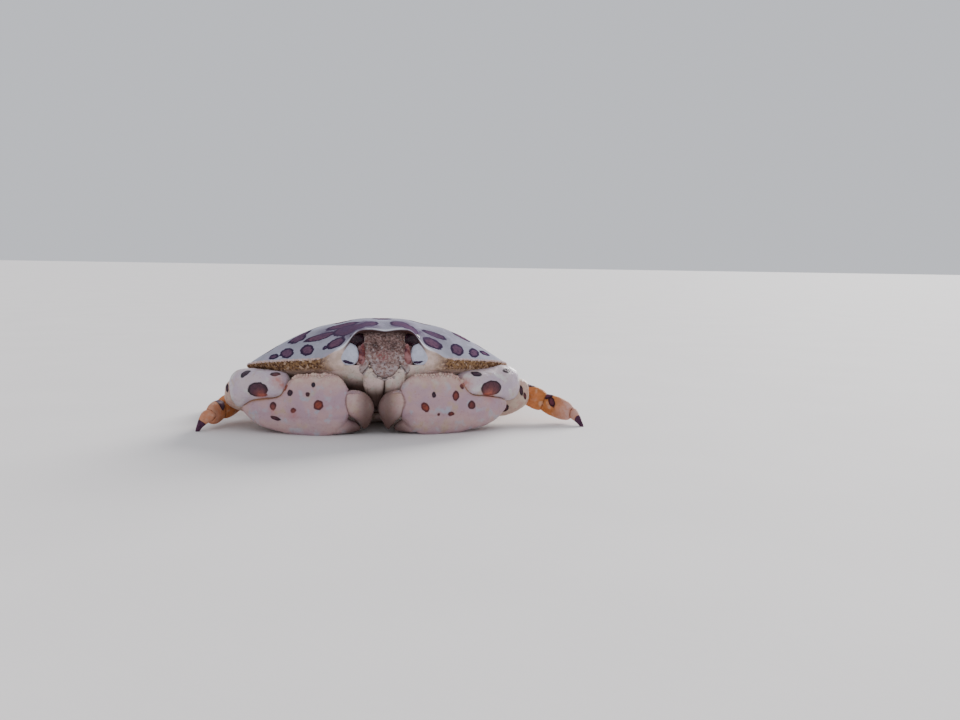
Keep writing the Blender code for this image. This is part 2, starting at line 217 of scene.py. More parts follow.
def markSpots(piece, spots):
    # How far each point is outside the nearest spot, and how red that spot is. A spot is
    # (x, y, z, half width, half height, turn, redness), laid on the skin nearest to it.
    points, normals = pointsOf(piece), normalsOf(piece)
    nearest, redness = np.full(len(points), 9.0), np.zeros(len(points))
    for x, y, z, wide, high, turn, red in spots:
        centre = np.array((x, y, z))
        found = np.argmin(((points - centre) ** 2).sum(1))
        centre, normal = points[found], normals[found]
        across = np.array((1.0, 0.0, 0.0)) - normal * normal[0]
        across /= np.linalg.norm(across)
        upward = np.cross(normal, across)
        c, s = math.cos(math.radians(turn)), math.sin(math.radians(turn))
        offset = points - centre
        u = offset @ (across * c + upward * s) / wide
        v = offset @ (upward * c - across * s) / high
        w = offset @ normal / max(wide, high)
        away = (np.sqrt(u**2 + v**2 + w**2) - 1) * math.sqrt(wide * high)
        closer = away < nearest
        nearest, redness = np.where(closer, away, nearest), np.where(closer, red, redness)
    mark(piece, "spot", nearest)
    mark(piece, "red", redness)


def markBlush(piece, glows):
    points = pointsOf(piece)
    amount = np.zeros(len(points))
    for x, y, z, radius, strength in glows:
        amount = np.maximum(amount, strength * bell(np.sqrt(((points - (x, y, z)) ** 2).sum(1)), radius))
    mark(piece, "blush", amount)


def valuesOf(piece, name):
    values = np.empty(len(piece.data.vertices))
    piece.data.attributes[name].data.foreach_get("value", values)
    return values


def markSeams(piece, others, name="seam"):  # how far each point is from its neighbours' skins
    if not others:
        return
    bm = bmesh.new()
    for other in others:
        bm.from_mesh(other.data)
    tree = BVHTree.FromBMesh(bm)
    bm.free()
    found = [tree.find_nearest(v.co, 0.003) for v in piece.data.vertices]
    mark(piece, name, [hit[3] / mm if hit[0] else 3.0 for hit in found])


def keep(piece, finish, slot, *nodes):
    if finish:
        piece.data.materials.clear()
        piece.data.materials.append(finish)
    made.append((piece, slot, nodes))
    return piece


# Finishes

def rgb(colour):
    return (*colour, 1.0)


def wire(tree, kind, settings=None, inputs=None):  # adds a node, with its settings, values and links
    fresh = tree.nodes.new(kind)
    for name, value in (settings or {}).items():
        setattr(fresh, name, value)
    for name, value in (inputs or {}).items():
        if isinstance(value, bpy.types.NodeSocket):
            tree.links.new(value, fresh.inputs[name])
        else:
            fresh.inputs[name].default_value = value
    return fresh


class Mixer:  # a material being put together

    def __init__(self, name):
        self.material = bpy.data.materials.new(name)
        self.material.use_nodes = True
        self.links = self.material.node_tree.links
        self.shader = self.material.node_tree.nodes["Principled BSDF"]
        place = self.node("ShaderNodeTexCoord")
        self.place = self.node("ShaderNodeVectorMath", {"operation": "SCALE"},
                               {0: place.outputs["Object"], "Scale": 1000.0}).outputs[0]

    def node(self, kind, settings=None, inputs=None):
        return wire(self.material.node_tree, kind, settings, inputs)

    def clouds(self, size, detail=3.0, seed=0.0, stretch=(1, 1, 1)):
        moved = self.node("ShaderNodeMapping", None, {
            "Vector": self.place, "Location": (seed, seed * 1.7, -seed), "Scale": stretch})
        return self.node("ShaderNodeTexNoise", None, {
            "Vector": moved.outputs[0], "Scale": 1.0 / size, "Detail": detail}).outputs["Fac"]

    def grains(self, size, seed=0.0):
        moved = self.node("ShaderNodeVectorMath", {"operation": "ADD"},
                          {0: self.place, 1: (seed, seed, seed)})
        return self.node("ShaderNodeTexVoronoi", None, {
            "Vector": moved.outputs[0], "Scale": 1.0 / size}).outputs["Distance"]

    def attribute(self, name):
        return self.node("ShaderNodeAttribute", {"attribute_name": name}).outputs["Fac"]

    def math(self, operation, a, b=0.0):
        return self.node("ShaderNodeMath", {"operation": operation}, {0: a, 1: b}).outputs[0]

    def between(self, value, start, end, low=0.0, high=1.0):
        return self.node("ShaderNodeMapRange", {"interpolation_type": "SMOOTHSTEP"}, {
            "Value": value, "From Min": start, "From Max": end,
            "To Min": low, "To Max": high}).outputs["Result"]

    def mix(self, share, a, b, blend="MIX"):
        fresh = self.node("ShaderNodeMix", {"data_type": "RGBA", "blend_type": blend})
        for index, value in ((0, share), (6, a), (7, b)):
            if isinstance(value, bpy.types.NodeSocket):
                self.links.new(value, fresh.inputs[index])
            else:
                fresh.inputs[index].default_value = value if index == 0 else rgb(value)
        return fresh.outputs[2]

    def finish(self, colour, roughness, height, depth, coat=0.0, coatRoughness=0.2, gloss=0.5):
        self.links.new(colour, self.shader.inputs["Base Color"])
        if isinstance(roughness, bpy.types.NodeSocket):
            self.links.new(roughness, self.shader.inputs["Roughness"])
        else:
            self.shader.inputs["Roughness"].default_value = roughness
        self.shader.inputs["Specular IOR Level"].default_value = gloss
        self.shader.inputs["Coat Weight"].default_value = coat
        self.shader.inputs["Coat Roughness"].default_value = coatRoughness
        bump = self.node("ShaderNodeBump", None, {
            "Height": height, "Strength": 1.0, "Distance": depth * mm})
        self.links.new(bump.outputs["Normal"], self.shader.inputs["Normal"])
        return self.material


def shellFinish(name, look):
    # Calcified skin: drifting base tones, fine grains, ringed spots, a darker line at each joint, and painted
    # shade where the deep mark lies
    m = Mixer(name)
    seed = look["seed"]
    drifting = m.between(m.clouds(look["cloudSize"], 3.0, seed), 0.35, 0.65)
    colour = m.mix(drifting, look["base"], look["second"])
    patches = m.between(m.clouds(look["patchSize"], 2.0, seed + 9), 0.54, 0.7, 0.0, look["patchStrength"])
    colour = m.mix(patches, colour, look["patch"])
    tints = m.between(m.clouds(look["tintSize"], 3.0, seed + 21), 0.55, 0.72, 0.0, look["tintStrength"])
    colour = m.mix(tints, colour, look["tint"])
    if "under" in look:
        grainy = m.mix(m.between(m.clouds(0.55, 4.0, seed + 3), 0.42, 0.6), look["under"], look["underDark"])
        grainy = m.mix(m.between(m.clouds(0.8, 2.0, seed + 5), 0.55, 0.66), grainy, look["underPale"])
        inner = m.mix(m.between(m.clouds(1.6, 3.0, seed + 6), 0.35, 0.65), look["inner"], look["innerSecond"])
        grainy = m.mix(m.attribute("inner"), grainy, inner)
        colour = m.mix(m.attribute("under"), colour, grainy)
    pale = m.mix(m.between(m.clouds(1.3, 2.0, seed + 12), 0.4, 0.6), look["pale"], look["paleSecond"])
    colour = m.mix(m.attribute("pale"), colour, pale)
    specks = m.between(m.clouds(look["speckSize"], 1.0, seed + 4), 0.64, 0.7, 0.0, look["speckStrength"])
    colour = m.mix(specks, colour, look["speck"])
    ragged = m.math("MULTIPLY", m.math("SUBTRACT", m.clouds(0.9, 3.0, seed + 7), 0.5), look["ragged"])
    away = m.math("ADD", m.attribute("spot"), ragged)
    red = m.attribute("red")
    middle = m.mix(red, look["spotMiddle"], look["redMiddle"])
    middle = m.mix(m.between(m.clouds(0.7, 3.0, seed + 8), 0.4, 0.7, 0.0, 0.5), middle, look["spotRim"])
    rim = m.mix(red, look["spotRim"], look["redRim"])
    ring = m.mix(m.between(away, -look["rimWidth"] * 1.6, -look["rimWidth"] * 0.7), middle, rim)
    colour = m.mix(m.between(away, -0.12, 0.16, 1.0, 0.0), colour, ring)
    colour = m.mix(m.attribute("rim"), colour, look["rim"])
    wavering = m.math("MULTIPLY", m.clouds(0.6, 2.0, seed), 0.35)
    seam = m.math("ADD", m.attribute("seam"), wavering)
    colour = m.mix(m.between(seam, 0.2, look["seamWidth"], 0.9, 0.0), colour, look["seam"])
    crease = m.math("ADD", m.attribute("crease"), wavering)
    colour = m.mix(m.between(crease, 0.15, 0.5, 0.8, 0.0), colour, look["crease"])
    # blush: reddish glows on the claws; on the shell the purple bands and, from its broad weak glows, painted
    # shade over the front of the dome
    glow = m.math("MULTIPLY", m.attribute("blush"), m.between(
        m.clouds(0.8, 3.0, seed + 14), 0.25, 0.6, look["blushLow"], look["blushHigh"]))
    colour = m.mix(glow, colour, look["blush"])
    # painted shade: darker where the deep mark lies, in recesses and in the gap between the claws
    colour = m.mix(m.attribute("deep"), colour, look["deep"])
    bumps = m.between(m.grains(look["grainSize"], seed), 0.15, 0.6, 1.0, 0.0)
    fine = m.clouds(0.16, 3.0, seed + 2)
    height = m.math("ADD", m.math("MULTIPLY", bumps, 0.7), m.math("MULTIPLY", fine, 0.6))
    roughness = m.between(m.clouds(1.2, 2.0, seed + 1), 0.3, 0.7, look["rough"] - 0.07, look["rough"] + 0.1)
    return m.finish(colour, roughness, height, look["grainDepth"], look["coat"], 0.25, look["gloss"])


clawLook = {
    "seed": 3.0, "base": (0.50, 0.325, 0.335), "second": (0.43, 0.29, 0.345), "cloudSize": 3.6,
    "patch": (0.41, 0.39, 0.46), "patchSize": 2.4, "patchStrength": 1.0,
    "tint": (0.47, 0.34, 0.22), "tintSize": 3.0, "tintStrength": 0.65,
    "pale": (0.60, 0.46, 0.37), "paleSecond": (0.55, 0.36, 0.30), "blush": (0.46, 0.13, 0.09),
    "blushLow": 0.35, "blushHigh": 0.75, "rim": (0.76, 0.77, 0.83),
    "speck": (0.36, 0.18, 0.17), "speckSize": 0.5, "speckStrength": 0.3,
    "spotMiddle": (0.056, 0.024, 0.046), "spotRim": (0.012, 0.007, 0.016),
    "redMiddle": (0.26, 0.054, 0.034), "redRim": (0.085, 0.016, 0.018), "rimWidth": 0.34, "ragged": 0.6,
    "seam": (0.27, 0.125, 0.035), "seamWidth": 1.15, "crease": (0.20, 0.11, 0.10),
    # the colour of painted shade, laid where the deep mark lies
    "deep": (0.075, 0.036, 0.028),
    "grainSize": 0.55, "grainDepth": 0.05, "rough": 0.42, "gloss": 0.22, "coat": 0.03,
}
wristLook = dict(clawLook, **{
    "seed": 5.0, "base": (0.56, 0.46, 0.49), "second": (0.50, 0.41, 0.49), "patch": (0.58, 0.56, 0.56),
    "redMiddle": (0.25, 0.07, 0.05), "seamWidth": 0.5,
})
shellLook = dict(clawLook, **{
    "seed": 11.0, "base": (0.385, 0.385, 0.46), "second": (0.33, 0.33, 0.39), "cloudSize": 5.0,
    "patch": (0.46, 0.46, 0.56), "patchSize": 4.0, "patchStrength": 0.8, "tint": (0.40, 0.35, 0.45),
    "pale": (0.56, 0.58, 0.69), "paleSecond": (0.49, 0.51, 0.61),
    "under": (0.26, 0.155, 0.08), "underDark": (0.09, 0.045, 0.028), "underPale": (0.44, 0.31, 0.22),
    "inner": (0.70, 0.54, 0.49), "innerSecond": (0.54, 0.41, 0.34),
    "speck": (0.24, 0.18, 0.22), "speckStrength": 0.25,
    "spotMiddle": (0.135, 0.075, 0.125), "spotRim": (0.034, 0.022, 0.052),
    "redMiddle": (0.185, 0.080, 0.110), "redRim": (0.050, 0.026, 0.050), "rimWidth": 0.55, "ragged": 1.1,
    "seam": (0.20, 0.12, 0.07), "seamWidth": 0.5, "grainSize": 0.5, "grainDepth": 0.018, "rough": 0.55,
    "gloss": 0.0, "coat": 0.0, "blush": (0.105, 0.070, 0.125),
    "blushLow": 0.6, "blushHigh": 0.95,
})
bodyLook = dict(clawLook, **{
    "seed": 23.0, "base": (0.67, 0.51, 0.48), "second": (0.58, 0.48, 0.42), "cloudSize": 3.0,
    "patch": (0.57, 0.53, 0.47), "patchSize": 2.2, "speck": (0.30, 0.14, 0.09), "speckSize": 0.45,
    "speckStrength": 0.4, "seam": (0.13, 0.07, 0.045), "seamWidth": 0.8, "rough": 0.5, "coat": 0.03,
})
legLook = dict(clawLook, **{
    "seed": 31.0, "base": (0.58, 0.215, 0.085), "second": (0.45, 0.16, 0.05), "cloudSize": 2.6,
    "patch": (0.60, 0.33, 0.21), "patchSize": 2.0, "patchStrength": 0.9, "tint": (0.36, 0.17, 0.05),
    "pale": (0.62, 0.40, 0.36), "paleSecond": (0.58, 0.30, 0.24),
    "speck": (0.22, 0.07, 0.045), "speckStrength": 0.3, "spotMiddle": (0.09, 0.035, 0.07),
    "spotRim": (0.016, 0.009, 0.018), "seam": (0.20, 0.07, 0.03), "seamWidth": 0.4, "rough": 0.5,
    "gloss": 0.06, "coat": 0.0,
})


def eyeFinish():
    m = Mixer("wetEye")
    stalk = m.mix(m.between(m.clouds(0.5, 3.0), 0.4, 0.6), (0.20, 0.11, 0.09), (0.42, 0.36, 0.35))
    glass = m.mix(m.between(m.clouds(0.35, 2.0, 4.0), 0.5, 0.7), (0.014, 0.005, 0.010), (0.055, 0.018, 0.030))
    colour = m.mix(m.attribute("cornea"), stalk, glass)
    facets = m.between(m.grains(0.11), 0.1, 0.6, 1.0, 0.0)
    roughness = m.between(m.attribute("cornea"), 0.0, 1.0, 0.5, 0.22)
    return m.finish(colour, roughness, facets, 0.012, coat=0.12, coatRoughness=0.08, gloss=0.15)


def faceFinish():
    # Dark brown and cream mottling over the middle of the face, redder and paler lower down
    m = Mixer("mottledFace")
    dark = m.mix(m.between(m.clouds(0.8, 3.0, 2.0), 0.45, 0.62), (0.085, 0.042, 0.036), (0.14, 0.055, 0.04))
    mild = m.mix(m.between(m.clouds(0.7, 3.0, 5.0), 0.4, 0.6), (0.22, 0.13, 0.11), (0.29, 0.18, 0.17))
    pale = m.mix(m.between(m.clouds(1.1, 3.0, 15.0), 0.4, 0.6), (0.37, 0.27, 0.25), (0.42, 0.36, 0.37))
    flecks = m.clouds(0.42, 4.0, 8.0)
    low = m.attribute("low")
    colour = m.mix(m.between(m.math("ADD", flecks, m.math("MULTIPLY", low, 0.08)), 0.42, 0.6), dark, mild)
    paler = m.math("ADD", m.clouds(0.55, 4.0, 28.0), m.math("MULTIPLY", low, 0.16))
    colour = m.mix(m.between(paler, 0.56, 0.72, 0.0, 0.85), colour, pale)
    colour = m.mix(m.math("MULTIPLY", m.attribute("blush"), m.between(m.clouds(0.5, 3.0, 12.0), 0.4, 0.6)),
                   colour, (0.24, 0.05, 0.05))
    colour = m.mix(m.attribute("mouth"), colour, m.mix(m.between(m.clouds(0.5, 3.0, 31.0), 0.42, 0.58),
                                                     (0.33, 0.24, 0.23), (0.45, 0.41, 0.40)))
    folds = m.mix(m.between(m.clouds(1.2, 2.0, 41.0), 0.42, 0.6), (0.13, 0.03, 0.03), (0.42, 0.25, 0.25))
    colour = m.mix(m.attribute("fold"), colour, folds)
    # painted shade where the groove mark lies: in grooves, pits and under the brow
    colour = m.mix(m.attribute("groove"), colour, (0.03, 0.014, 0.014))
    height = m.math("ADD", m.between(m.grains(0.3, 2.0), 0.1, 0.6, 1.0, 0.0), m.clouds(0.15, 3.0))
    return m.finish(colour, 0.5, height, 0.06, 0.1, 0.3)


clawSkin, wristSkin = shellFinish("clawShell", clawLook), shellFinish("wristShell", wristLook)
shellSkin = shellFinish("calicoShell", shellLook)
bodySkin, legSkin = shellFinish("underShell", bodyLook), shellFinish("legShell", legLook)
eyeSkin, faceSkin = eyeFinish(), faceFinish()
print("finishes mixed")


# The shell

shellSizes = {
    "halfWidth": 32.0, "front": 20.6, "back": 25.0, "frontFullness": 2.15,
    "backRadii": (32.0, 28.9, 25.6, 24.3, 24.9, 25.9, 25.0),  # every 15 degrees, side to back
    "domeRise": 11.5, "browRise": 6.9, "browHalfWidth": 8.5, "browShift": 0.08,
    "notchDepth": 0.4, "notchWidth": 2.0, "backEdgeRise": 2.6, "cheekHollow": 0.55,
    "rimRise": 1.25, "rimRisePlace": 11.2, "rimRiseWidth": 2.3, "teeth": 62,
    "faceHalfWidth": 10.0, "faceFade": 2.2,  # the part of the edge that arches over the face
    "rows": 120, "columns": 440, "underRows": 30,
}
# Under the edge: how far in, how far below the edge, and then at what height, for the sides
cheekLip = ((0.0, 0.0), (-0.16, 0.2), (-0.14, 0.5), (0.08, 1.0), (0.42, 1.7), (0.9, 2.35), (1.8, 2.95),
            (3.6, 3.5), (7.0, 4.3), (11.0, 5.4))
backLip = ((0.0, 0.0), (-0.16, 0.2), (-0.18, 0.45), (0.0, 0.75), (0.5, 0.98), (1.6, 1.25), (3.4, 1.75),
           (5.8, 2.5), (8.6, 3.5), (11.5, 5.0))
browLip = ((0.0, 0.0), (-0.1, 0.08), (-0.1, 0.26), (0.1, 0.42), (0.7, 0.5), (1.9, 0.6), (2.8, 1.2),
           (3.3, 3.0), (3.5, 5.5), (3.6, 9.0))


def shellOutline(around):
    c, s = np.cos(around), np.sin(around)
    power = 2 / shellSizes["frontFullness"]
    radius = rowAt(shellSizes["backRadii"], np.arctan2(np.maximum(s, 0), np.abs(c)) / (math.pi / 2))
    x = np.where(s <= 0, shellSizes["halfWidth"] * signedPower(c, power), radius * c)
    y = np.where(s <= 0, shellSizes["front"] * signedPower(s, power), radius * s)
    return x, y


def snout(x, rho):
    reach = shellSizes["browHalfWidth"] + 6 * (1 - rho)
    return 1 / (1 + (np.abs(x) / reach) ** (2.5 + 5.5 * rho**6))


def shellHeight(x, y, rho):
    size = shellSizes
    brow = size["browRise"] * snout(x + size["browShift"], rho)
    brow = brow - size["notchDepth"] * bell(x, size["notchWidth"])
    curl = size["rimRise"] * bell(np.abs(x) - size["rimRisePlace"], size["rimRiseWidth"]) * rho**8
    front = (brow * rho**2.1 + curl) * np.clip(-y / 5, 0, 1)
    back = size["backEdgeRise"] * rho**2 * (y / size["back"]) ** 2
    hollow = size["cheekHollow"] * bell(np.abs(x) - 10.5, 3.2) * bell(y - 1, 9)
    return size["domeRise"] * (1 - rho**2) + np.where(y < 0, front, back) - hollow


def carapace():
    size = shellSizes
    around = np.linspace(0, 2 * math.pi, size["columns"], endpoint=False)[None, :]
    around = around - 0.35 * np.sin(around + math.pi / 2)
    edgeX, edgeY = shellOutline(around)
    rho = np.linspace(0.004, 1, size["rows"])[:, None]
    x, y = edgeX * rho, edgeY * rho
    top = stack(x, y, shellHeight(x, y, rho))
    edgeZ = shellHeight(edgeX, edgeY, 1.0)
    teeth = np.abs(np.sin(around * size["teeth"])) ** 1.5 * step(-edgeY, -6, 4) * step(np.abs(edgeX), 10, 13)
    top[-1, :, :2] *= (1 + 0.006 * teeth[0])[:, None]
    reach = np.hypot(edgeX, edgeY)
    down = np.linspace(0, 1, size["underRows"] + 1)[1:, None]
    face = np.where(edgeY < 0, step(size["faceHalfWidth"] - np.abs(edgeX), 0, size["faceFade"]), 0.0)
    cheek = step(-edgeY, -3, 7) * step(size["halfWidth"] - np.abs(edgeX), 0, 7.5) * (1 - face)
    inset, drop = (rowAt([p[i] for p in cheekLip], down) * cheek + rowAt([p[i] for p in browLip], down) * face
                   + rowAt([p[i] for p in backLip], down) * (1 - cheek - face) for i in (0, 1))
    level = step(down, 0.35, 0.7) * (1 - face)
    z = (edgeZ - drop) * (1 - level) - (drop - 0.2) * level
    shrink = 1 - (inset - 0.16 * teeth * (1 - step(down, 0.2, 0.4))) / reach
    under = stack(edgeX * shrink, edgeY * shrink, z)
    grid = np.concatenate((top, under))
    piece = skin("carapace", tipped(grid))
    flat = np.zeros_like(x)

    def spread(onTop, below):
        return np.concatenate((onTop.ravel(), np.broadcast_to(below, under.shape[:2]).ravel(), [0.0], [1.0]))

    mark(piece, "under", spread(flat, step(down, 0.04, 0.16) * (1 - face)))
    besideFace = 1 - step(np.abs(edgeX), 10.5, 15.5)
    mark(piece, "inner", spread(flat, np.maximum(step(down, 0.5, 0.8), besideFace) * (1 - face)))
    # painted shade inside the arch over the face, below the brow's edge
    mark(piece, "deep", spread(flat, step(down, 0.18, 0.3) * face * 0.92))
    wideFace = np.where(edgeY < 0, step(12.0 - np.abs(edgeX), 0, 2.0), 0.0)
    browRim = step(rho + 0 * x, 0.986, 0.992) * wideFace
    mark(piece, "rim", spread(browRim, (1 - step(down, 0.14, 0.22)) * wideFace))
    level = levelled(pointsOf(piece))
    lumps = rough(level, 3.2, 5.0, 3) * 0.07
    raised(piece, lumps * spread(1 - step(rho + 0 * x, 0.93, 1.0), 0.0 * down))
    return piece


# Spots of the shell in its level frame: (x, y, half width, half depth, turn, redness)
frontSpots = (
    (-11.7, -18.5, 2.5, 1.7, 2, 0.35), (-14.0, -17.8, 0.9, 0.7, -15, 0.0), (-18.1, -15.8, 2.2, 1.6, -76, 0.3),
    (-22.7, -13.3, 2.6, 1.6, -73, 0.1), (-25.7, -11.8, 1.7, 1.1, -54, 0.0), (-15.0, -13.3, 4.1, 1.5, -8, 0.5),
    (-8.0, -16.0, 4.6, 2.7, -24, 0.5), (-9.6, -11.8, 4.2, 1.9, -12, 0.3), (-3.6, -15.9, 3.0, 2.2, 69, 0.3),
    (-20.0, -9.6, 2.1, 1.5, 8, 0.2), (11.9, -18.3, 2.8, 1.9, 8, 0.35), (18.0, -15.9, 2.5, 1.7, 72, 0.2),
    (22.4, -13.8, 2.7, 1.3, 69, 0.1), (6.4, -18.0, 3.6, 2.2, -81, 0.4), (3.9, -15.6, 3.4, 2.4, 87, 0.3),
    (12.8, -14.3, 3.4, 1.3, 1, 0.2), (25.4, -10.2, 1.9, 1.2, 40, 0.0), (0.2, -9.0, 2.4, 1.6, 0, 0.3),
)
pairedSpots = (  # given for one side, and laid on both with a little drift
    (26.0, -3.8, 2.7, 2.1, 25, 0.3), (20.0, -7.4, 3.0, 2.0, -20, 0.2), (28.2, 1.6, 1.7, 1.9, 0, 0.2),
    (9.6, -6.0, 3.0, 2.4, 12, 0.4), (15.6, -3.2, 2.7, 2.5, -15, 0.3), (21.4, 1.4, 3.0, 2.4, 10, 0.4),
    (14.0, 4.6, 3.1, 2.4, -12, 0.4), (6.4, 1.8, 2.2, 3.0, 8, 0.3), (4.4, 9.6, 2.2, 2.2, 0, 0.3),
    (10.8, 11.8, 2.8, 2.1, 15, 0.4), (18.2, 9.4, 2.8, 2.1, 30, 0.4), (23.6, 6.0, 2.0, 1.8, 35, 0.2),
    (6.6, 17.2, 2.6, 1.6, 8, 0.3), (12.8, 18.0, 2.1, 1.5, 22, 0.3), (17.8, 15.4, 1.7, 1.4, 40, 0.2),
    (3.4, 21.6, 2.2, 1.1, 4, 0.3), (9.8, 21.6, 1.7, 1.1, 18, 0.2),
)
bandsAndShadeGlows = (  # (x, y, radius, strength) of the purple bands above the face; the broad, weak glows at the end are painted shade over the front of the dome
    (-5.2, -17.8, 3.4, 1.0), (-8.8, -15.0, 3.8, 1.0), (-4.4, -14.2, 3.4, 1.0), (-13.4, -12.0, 2.8, 0.9),
    (-7.8, -19.0, 2.4, 1.0), (-5.6, -19.6, 2.4, 1.0), (-3.0, -18.6, 2.6, 1.0), (3.4, -17.8, 2.6, 1.0),
    (5.8, -19.0, 2.6, 1.0), (7.4, -19.6, 2.4, 1.0), (8.6, -17.0, 3.0, 1.0), (12.4, -15.0, 3.0, 0.9),
    (4.6, -14.0, 3.4, 0.9), (0.0, -16.0, 5.5, 0.45), (-20.0, -9.0, 4.0, 0.3), (17.0, -11.0, 5.0, 0.35),
    (0.0, -6.0, 7.0, 0.35),
)


def shellPoint(x, y):  # from above, in the level frame, onto the dome
    reach = np.hypot(*shellOutline(np.array([math.atan2(y, x)])))[0]
    rho = min(1.0, math.hypot(x, y) / reach)
    return tipped(np.array((x, y, float(shellHeight(np.array(x), np.array(y), np.array(rho))))))


def shellSpots():
    drift = random.Random(7)
    flat = list(frontSpots) + [(0.2, -5.6, 2.3, 2.1, 0, 0.3), (-0.2, 14.4, 2.3, 1.7, 0, 0.3)]
    for x, y, wide, deep, turn, red in pairedSpots:
        for side in (1, -1):
            flat.append((side * x + drift.uniform(-0.7, 0.7), y + drift.uniform(-0.6, 0.6),
                         wide * drift.uniform(0.85, 1.12), deep * drift.uniform(0.85, 1.12),
                         side * turn + drift.uniform(-10, 10), red + drift.uniform(-0.2, 0.2)))
    return [(*shellPoint(x, y), wide, deep, turn, red) for x, y, wide, deep, turn, red in flat]


shell = carapace()
markSpots(shell, shellSpots())
# purple bands above the face, and painted shade over the front of the dome
markBlush(shell, [(*shellPoint(x, y), radius, strength) for x, y, radius, strength in bandsAndShadeGlows])
keep(shell, shellSkin, "shell", "carapace")
print("shell laid")


# Swellings below the eyes

lobeSizes = {
    "start": (6.1, -19.4, 1.5), "end": (11.0, -17.8, 0.4), "above": (2.2, 2.9, 2.5, 0.6),
    "below": (2.0, 2.6, 2.3, 0.8), "thick": (1.0, 1.3, 1.3, 1.0),
}


def levelLimb(side, start, end, *rows, **shape):  # a limb given in the crab's level frame
    return tipped(limbGrid(side, start, end, *rows, **shape) - np.array(stance["shift"]))


def orbitLobe(side):
    size = lobeSizes
    grid = levelLimb(sides[side], size["start"], size["end"], size["above"], size["below"], size["thick"],
                     size["thick"], bluntness=3.2, rows=50, columns=60)
    piece = skin(f"orbit_lobe_{side}", grid)
    mark(piece, "pale", np.full(len(piece.data.vertices), 0.9))
    return piece


lobes = [orbitLobe(side) for side in sides]
markSpots(lobes[0], [(4.3, -29.1, 16.9, 1.3, 0.32, 4, 0.0)])
markSpots(lobes[1], [(-11.9, -28.9, 16.9, 1.4, 0.36, -12, 0.0)])
for lobe in lobes:
    keep(lobe, shellSkin, "shell")


# The underbody

underbodyOutlines = (  # (height, half width, reach ahead, reach behind, how far the cheeks stand out)
    (-11.9, 6.0, 8.0, 11.5, 0.0), (-11.6, 10.0, 11.4, 15.2, 0.0), (-8.6, 12.2, 14.6, 17.2, 0.0),
    (-5.4, 15.0, 17.2, 19.2, 1.5), (-3.3, 22.0, 18.7, 21.2, 3.6), (-2.2, 27.2, 19.3, 22.4, 2.6),
    (-1.5, 28.6, 19.7, 23.2, 1.4),
)


def thorax():
    rows, columns = 90, 260
    share = np.linspace(0, 1, rows)[:, None]
    around = -np.linspace(0, 2 * math.pi, columns, endpoint=False)[None, :]
    z, halfWidth, front, back, cheek = (rowAt(values, share) for values in zip(*underbodyOutlines))
    x, y = shellOutline(around)
    y = y * np.where(y < 0, front / shellSizes["front"], back / shellSizes["back"])
    x = x * (halfWidth + cheek * np.clip((-y - 4) / 6, 0, 1)) / shellSizes["halfWidth"]
    grid = stack(x, y, z + 0 * x)
    centre = stack(0 * x[:1], 0 * x[:1] + 1.5, 0 * x[:1] - 11.95)
    inner = [centre + (grid[:1] - centre) * t for t in (0.05, 0.35, 0.7)]
    grid = np.concatenate((*inner, grid))
    plates = bell(np.abs(np.mod(grid[..., 1] + 2.2, 4.4) - 2.2), 0.3) * step(-grid[..., 2], 9.5, 11.2)
    grid[..., 2] += 0.35 * plates
    piece = skin("thorax", tipped(grid))
    points = levelled(pointsOf(piece))
    # painted shade on the low front of the underbody, in the gap between the claws
    mark(piece, "deep", step(-points[:, 2], 3.8, 6.4) * step(-points[:, 1], 8.0, 12.0) * 0.95)
    raised(piece, rough(points, 1.6, 3.0, 3) * 0.08)
    return piece


flapSizes = {
    "spine": ((24.2, -0.4), (23.2, -6.4), (18.6, -11.6), (9.0, -13.3), (-2.0, -13.3), (-6.0, -12.9)),
    "halfWidths": (7.6, 7.8, 6.8, 5.2, 3.6, 1.2), "thickness": 0.9, "plates": 6,
}


def abdomen():
    polar = np.linspace(0.03, math.pi - 0.03, 110)[:, None]
    around = np.linspace(0, 2 * math.pi, 72, endpoint=False)[None, :]
    share = (1 - np.cos(polar)) / 2
    full = (1 - np.abs(2 * share - 1) ** 6) ** (1 / 6)
    middle, ahead, behind = (
        [rowAt([p[i] for p in flapSizes["spine"]], np.clip(share + d, 0, 1)) for i in (0, 1)]
        for d in (0, 0.02, -0.02))
    runY, runZ = ahead[0] - behind[0], ahead[1] - behind[1]
    length = np.hypot(runY, runZ)
    out = signedPower(np.cos(around), 2 / 3)
    thick = signedPower(np.sin(around), 2 / 3)
    furrow = bell(np.mod(share * flapSizes["plates"] + 0.5, 1.0) - 0.5, 0.06)
    depth = thick * full * (flapSizes["thickness"] - 0.3 * furrow)
    x = out * rowAt(flapSizes["halfWidths"], share) * full
    grid = stack(x, middle[0] + depth * runZ / length, middle[1] - depth * runY / length)
    piece = skin("abdomen", tipped(grid))
    points = pointsOf(piece)
    points[:, 2] = np.maximum(points[:, 2], 0.02)
    moveTo(piece, points)
    return piece


chest, tail = thorax(), abdomen()
keep(chest, bodySkin, "underside", "thorax")
keep(tail, bodySkin, "underside", "abdomen")
print("underbody laid")


# The face between the eyes, as a cushion of relief, in the level frame

faceSizes = {
    "halfWidth": 6.9, "low": -5.1, "high": 7.6, "back": -15.5, "reach": 16.9, "crown": 1.9,
    "squareness": 2.6, "mouthRadius": 3.5, "mouthTop": -1.0,
    "pitPlace": (2.1, 3.2), "pitDepth": 0.75,  # where the small feelers fold away
}


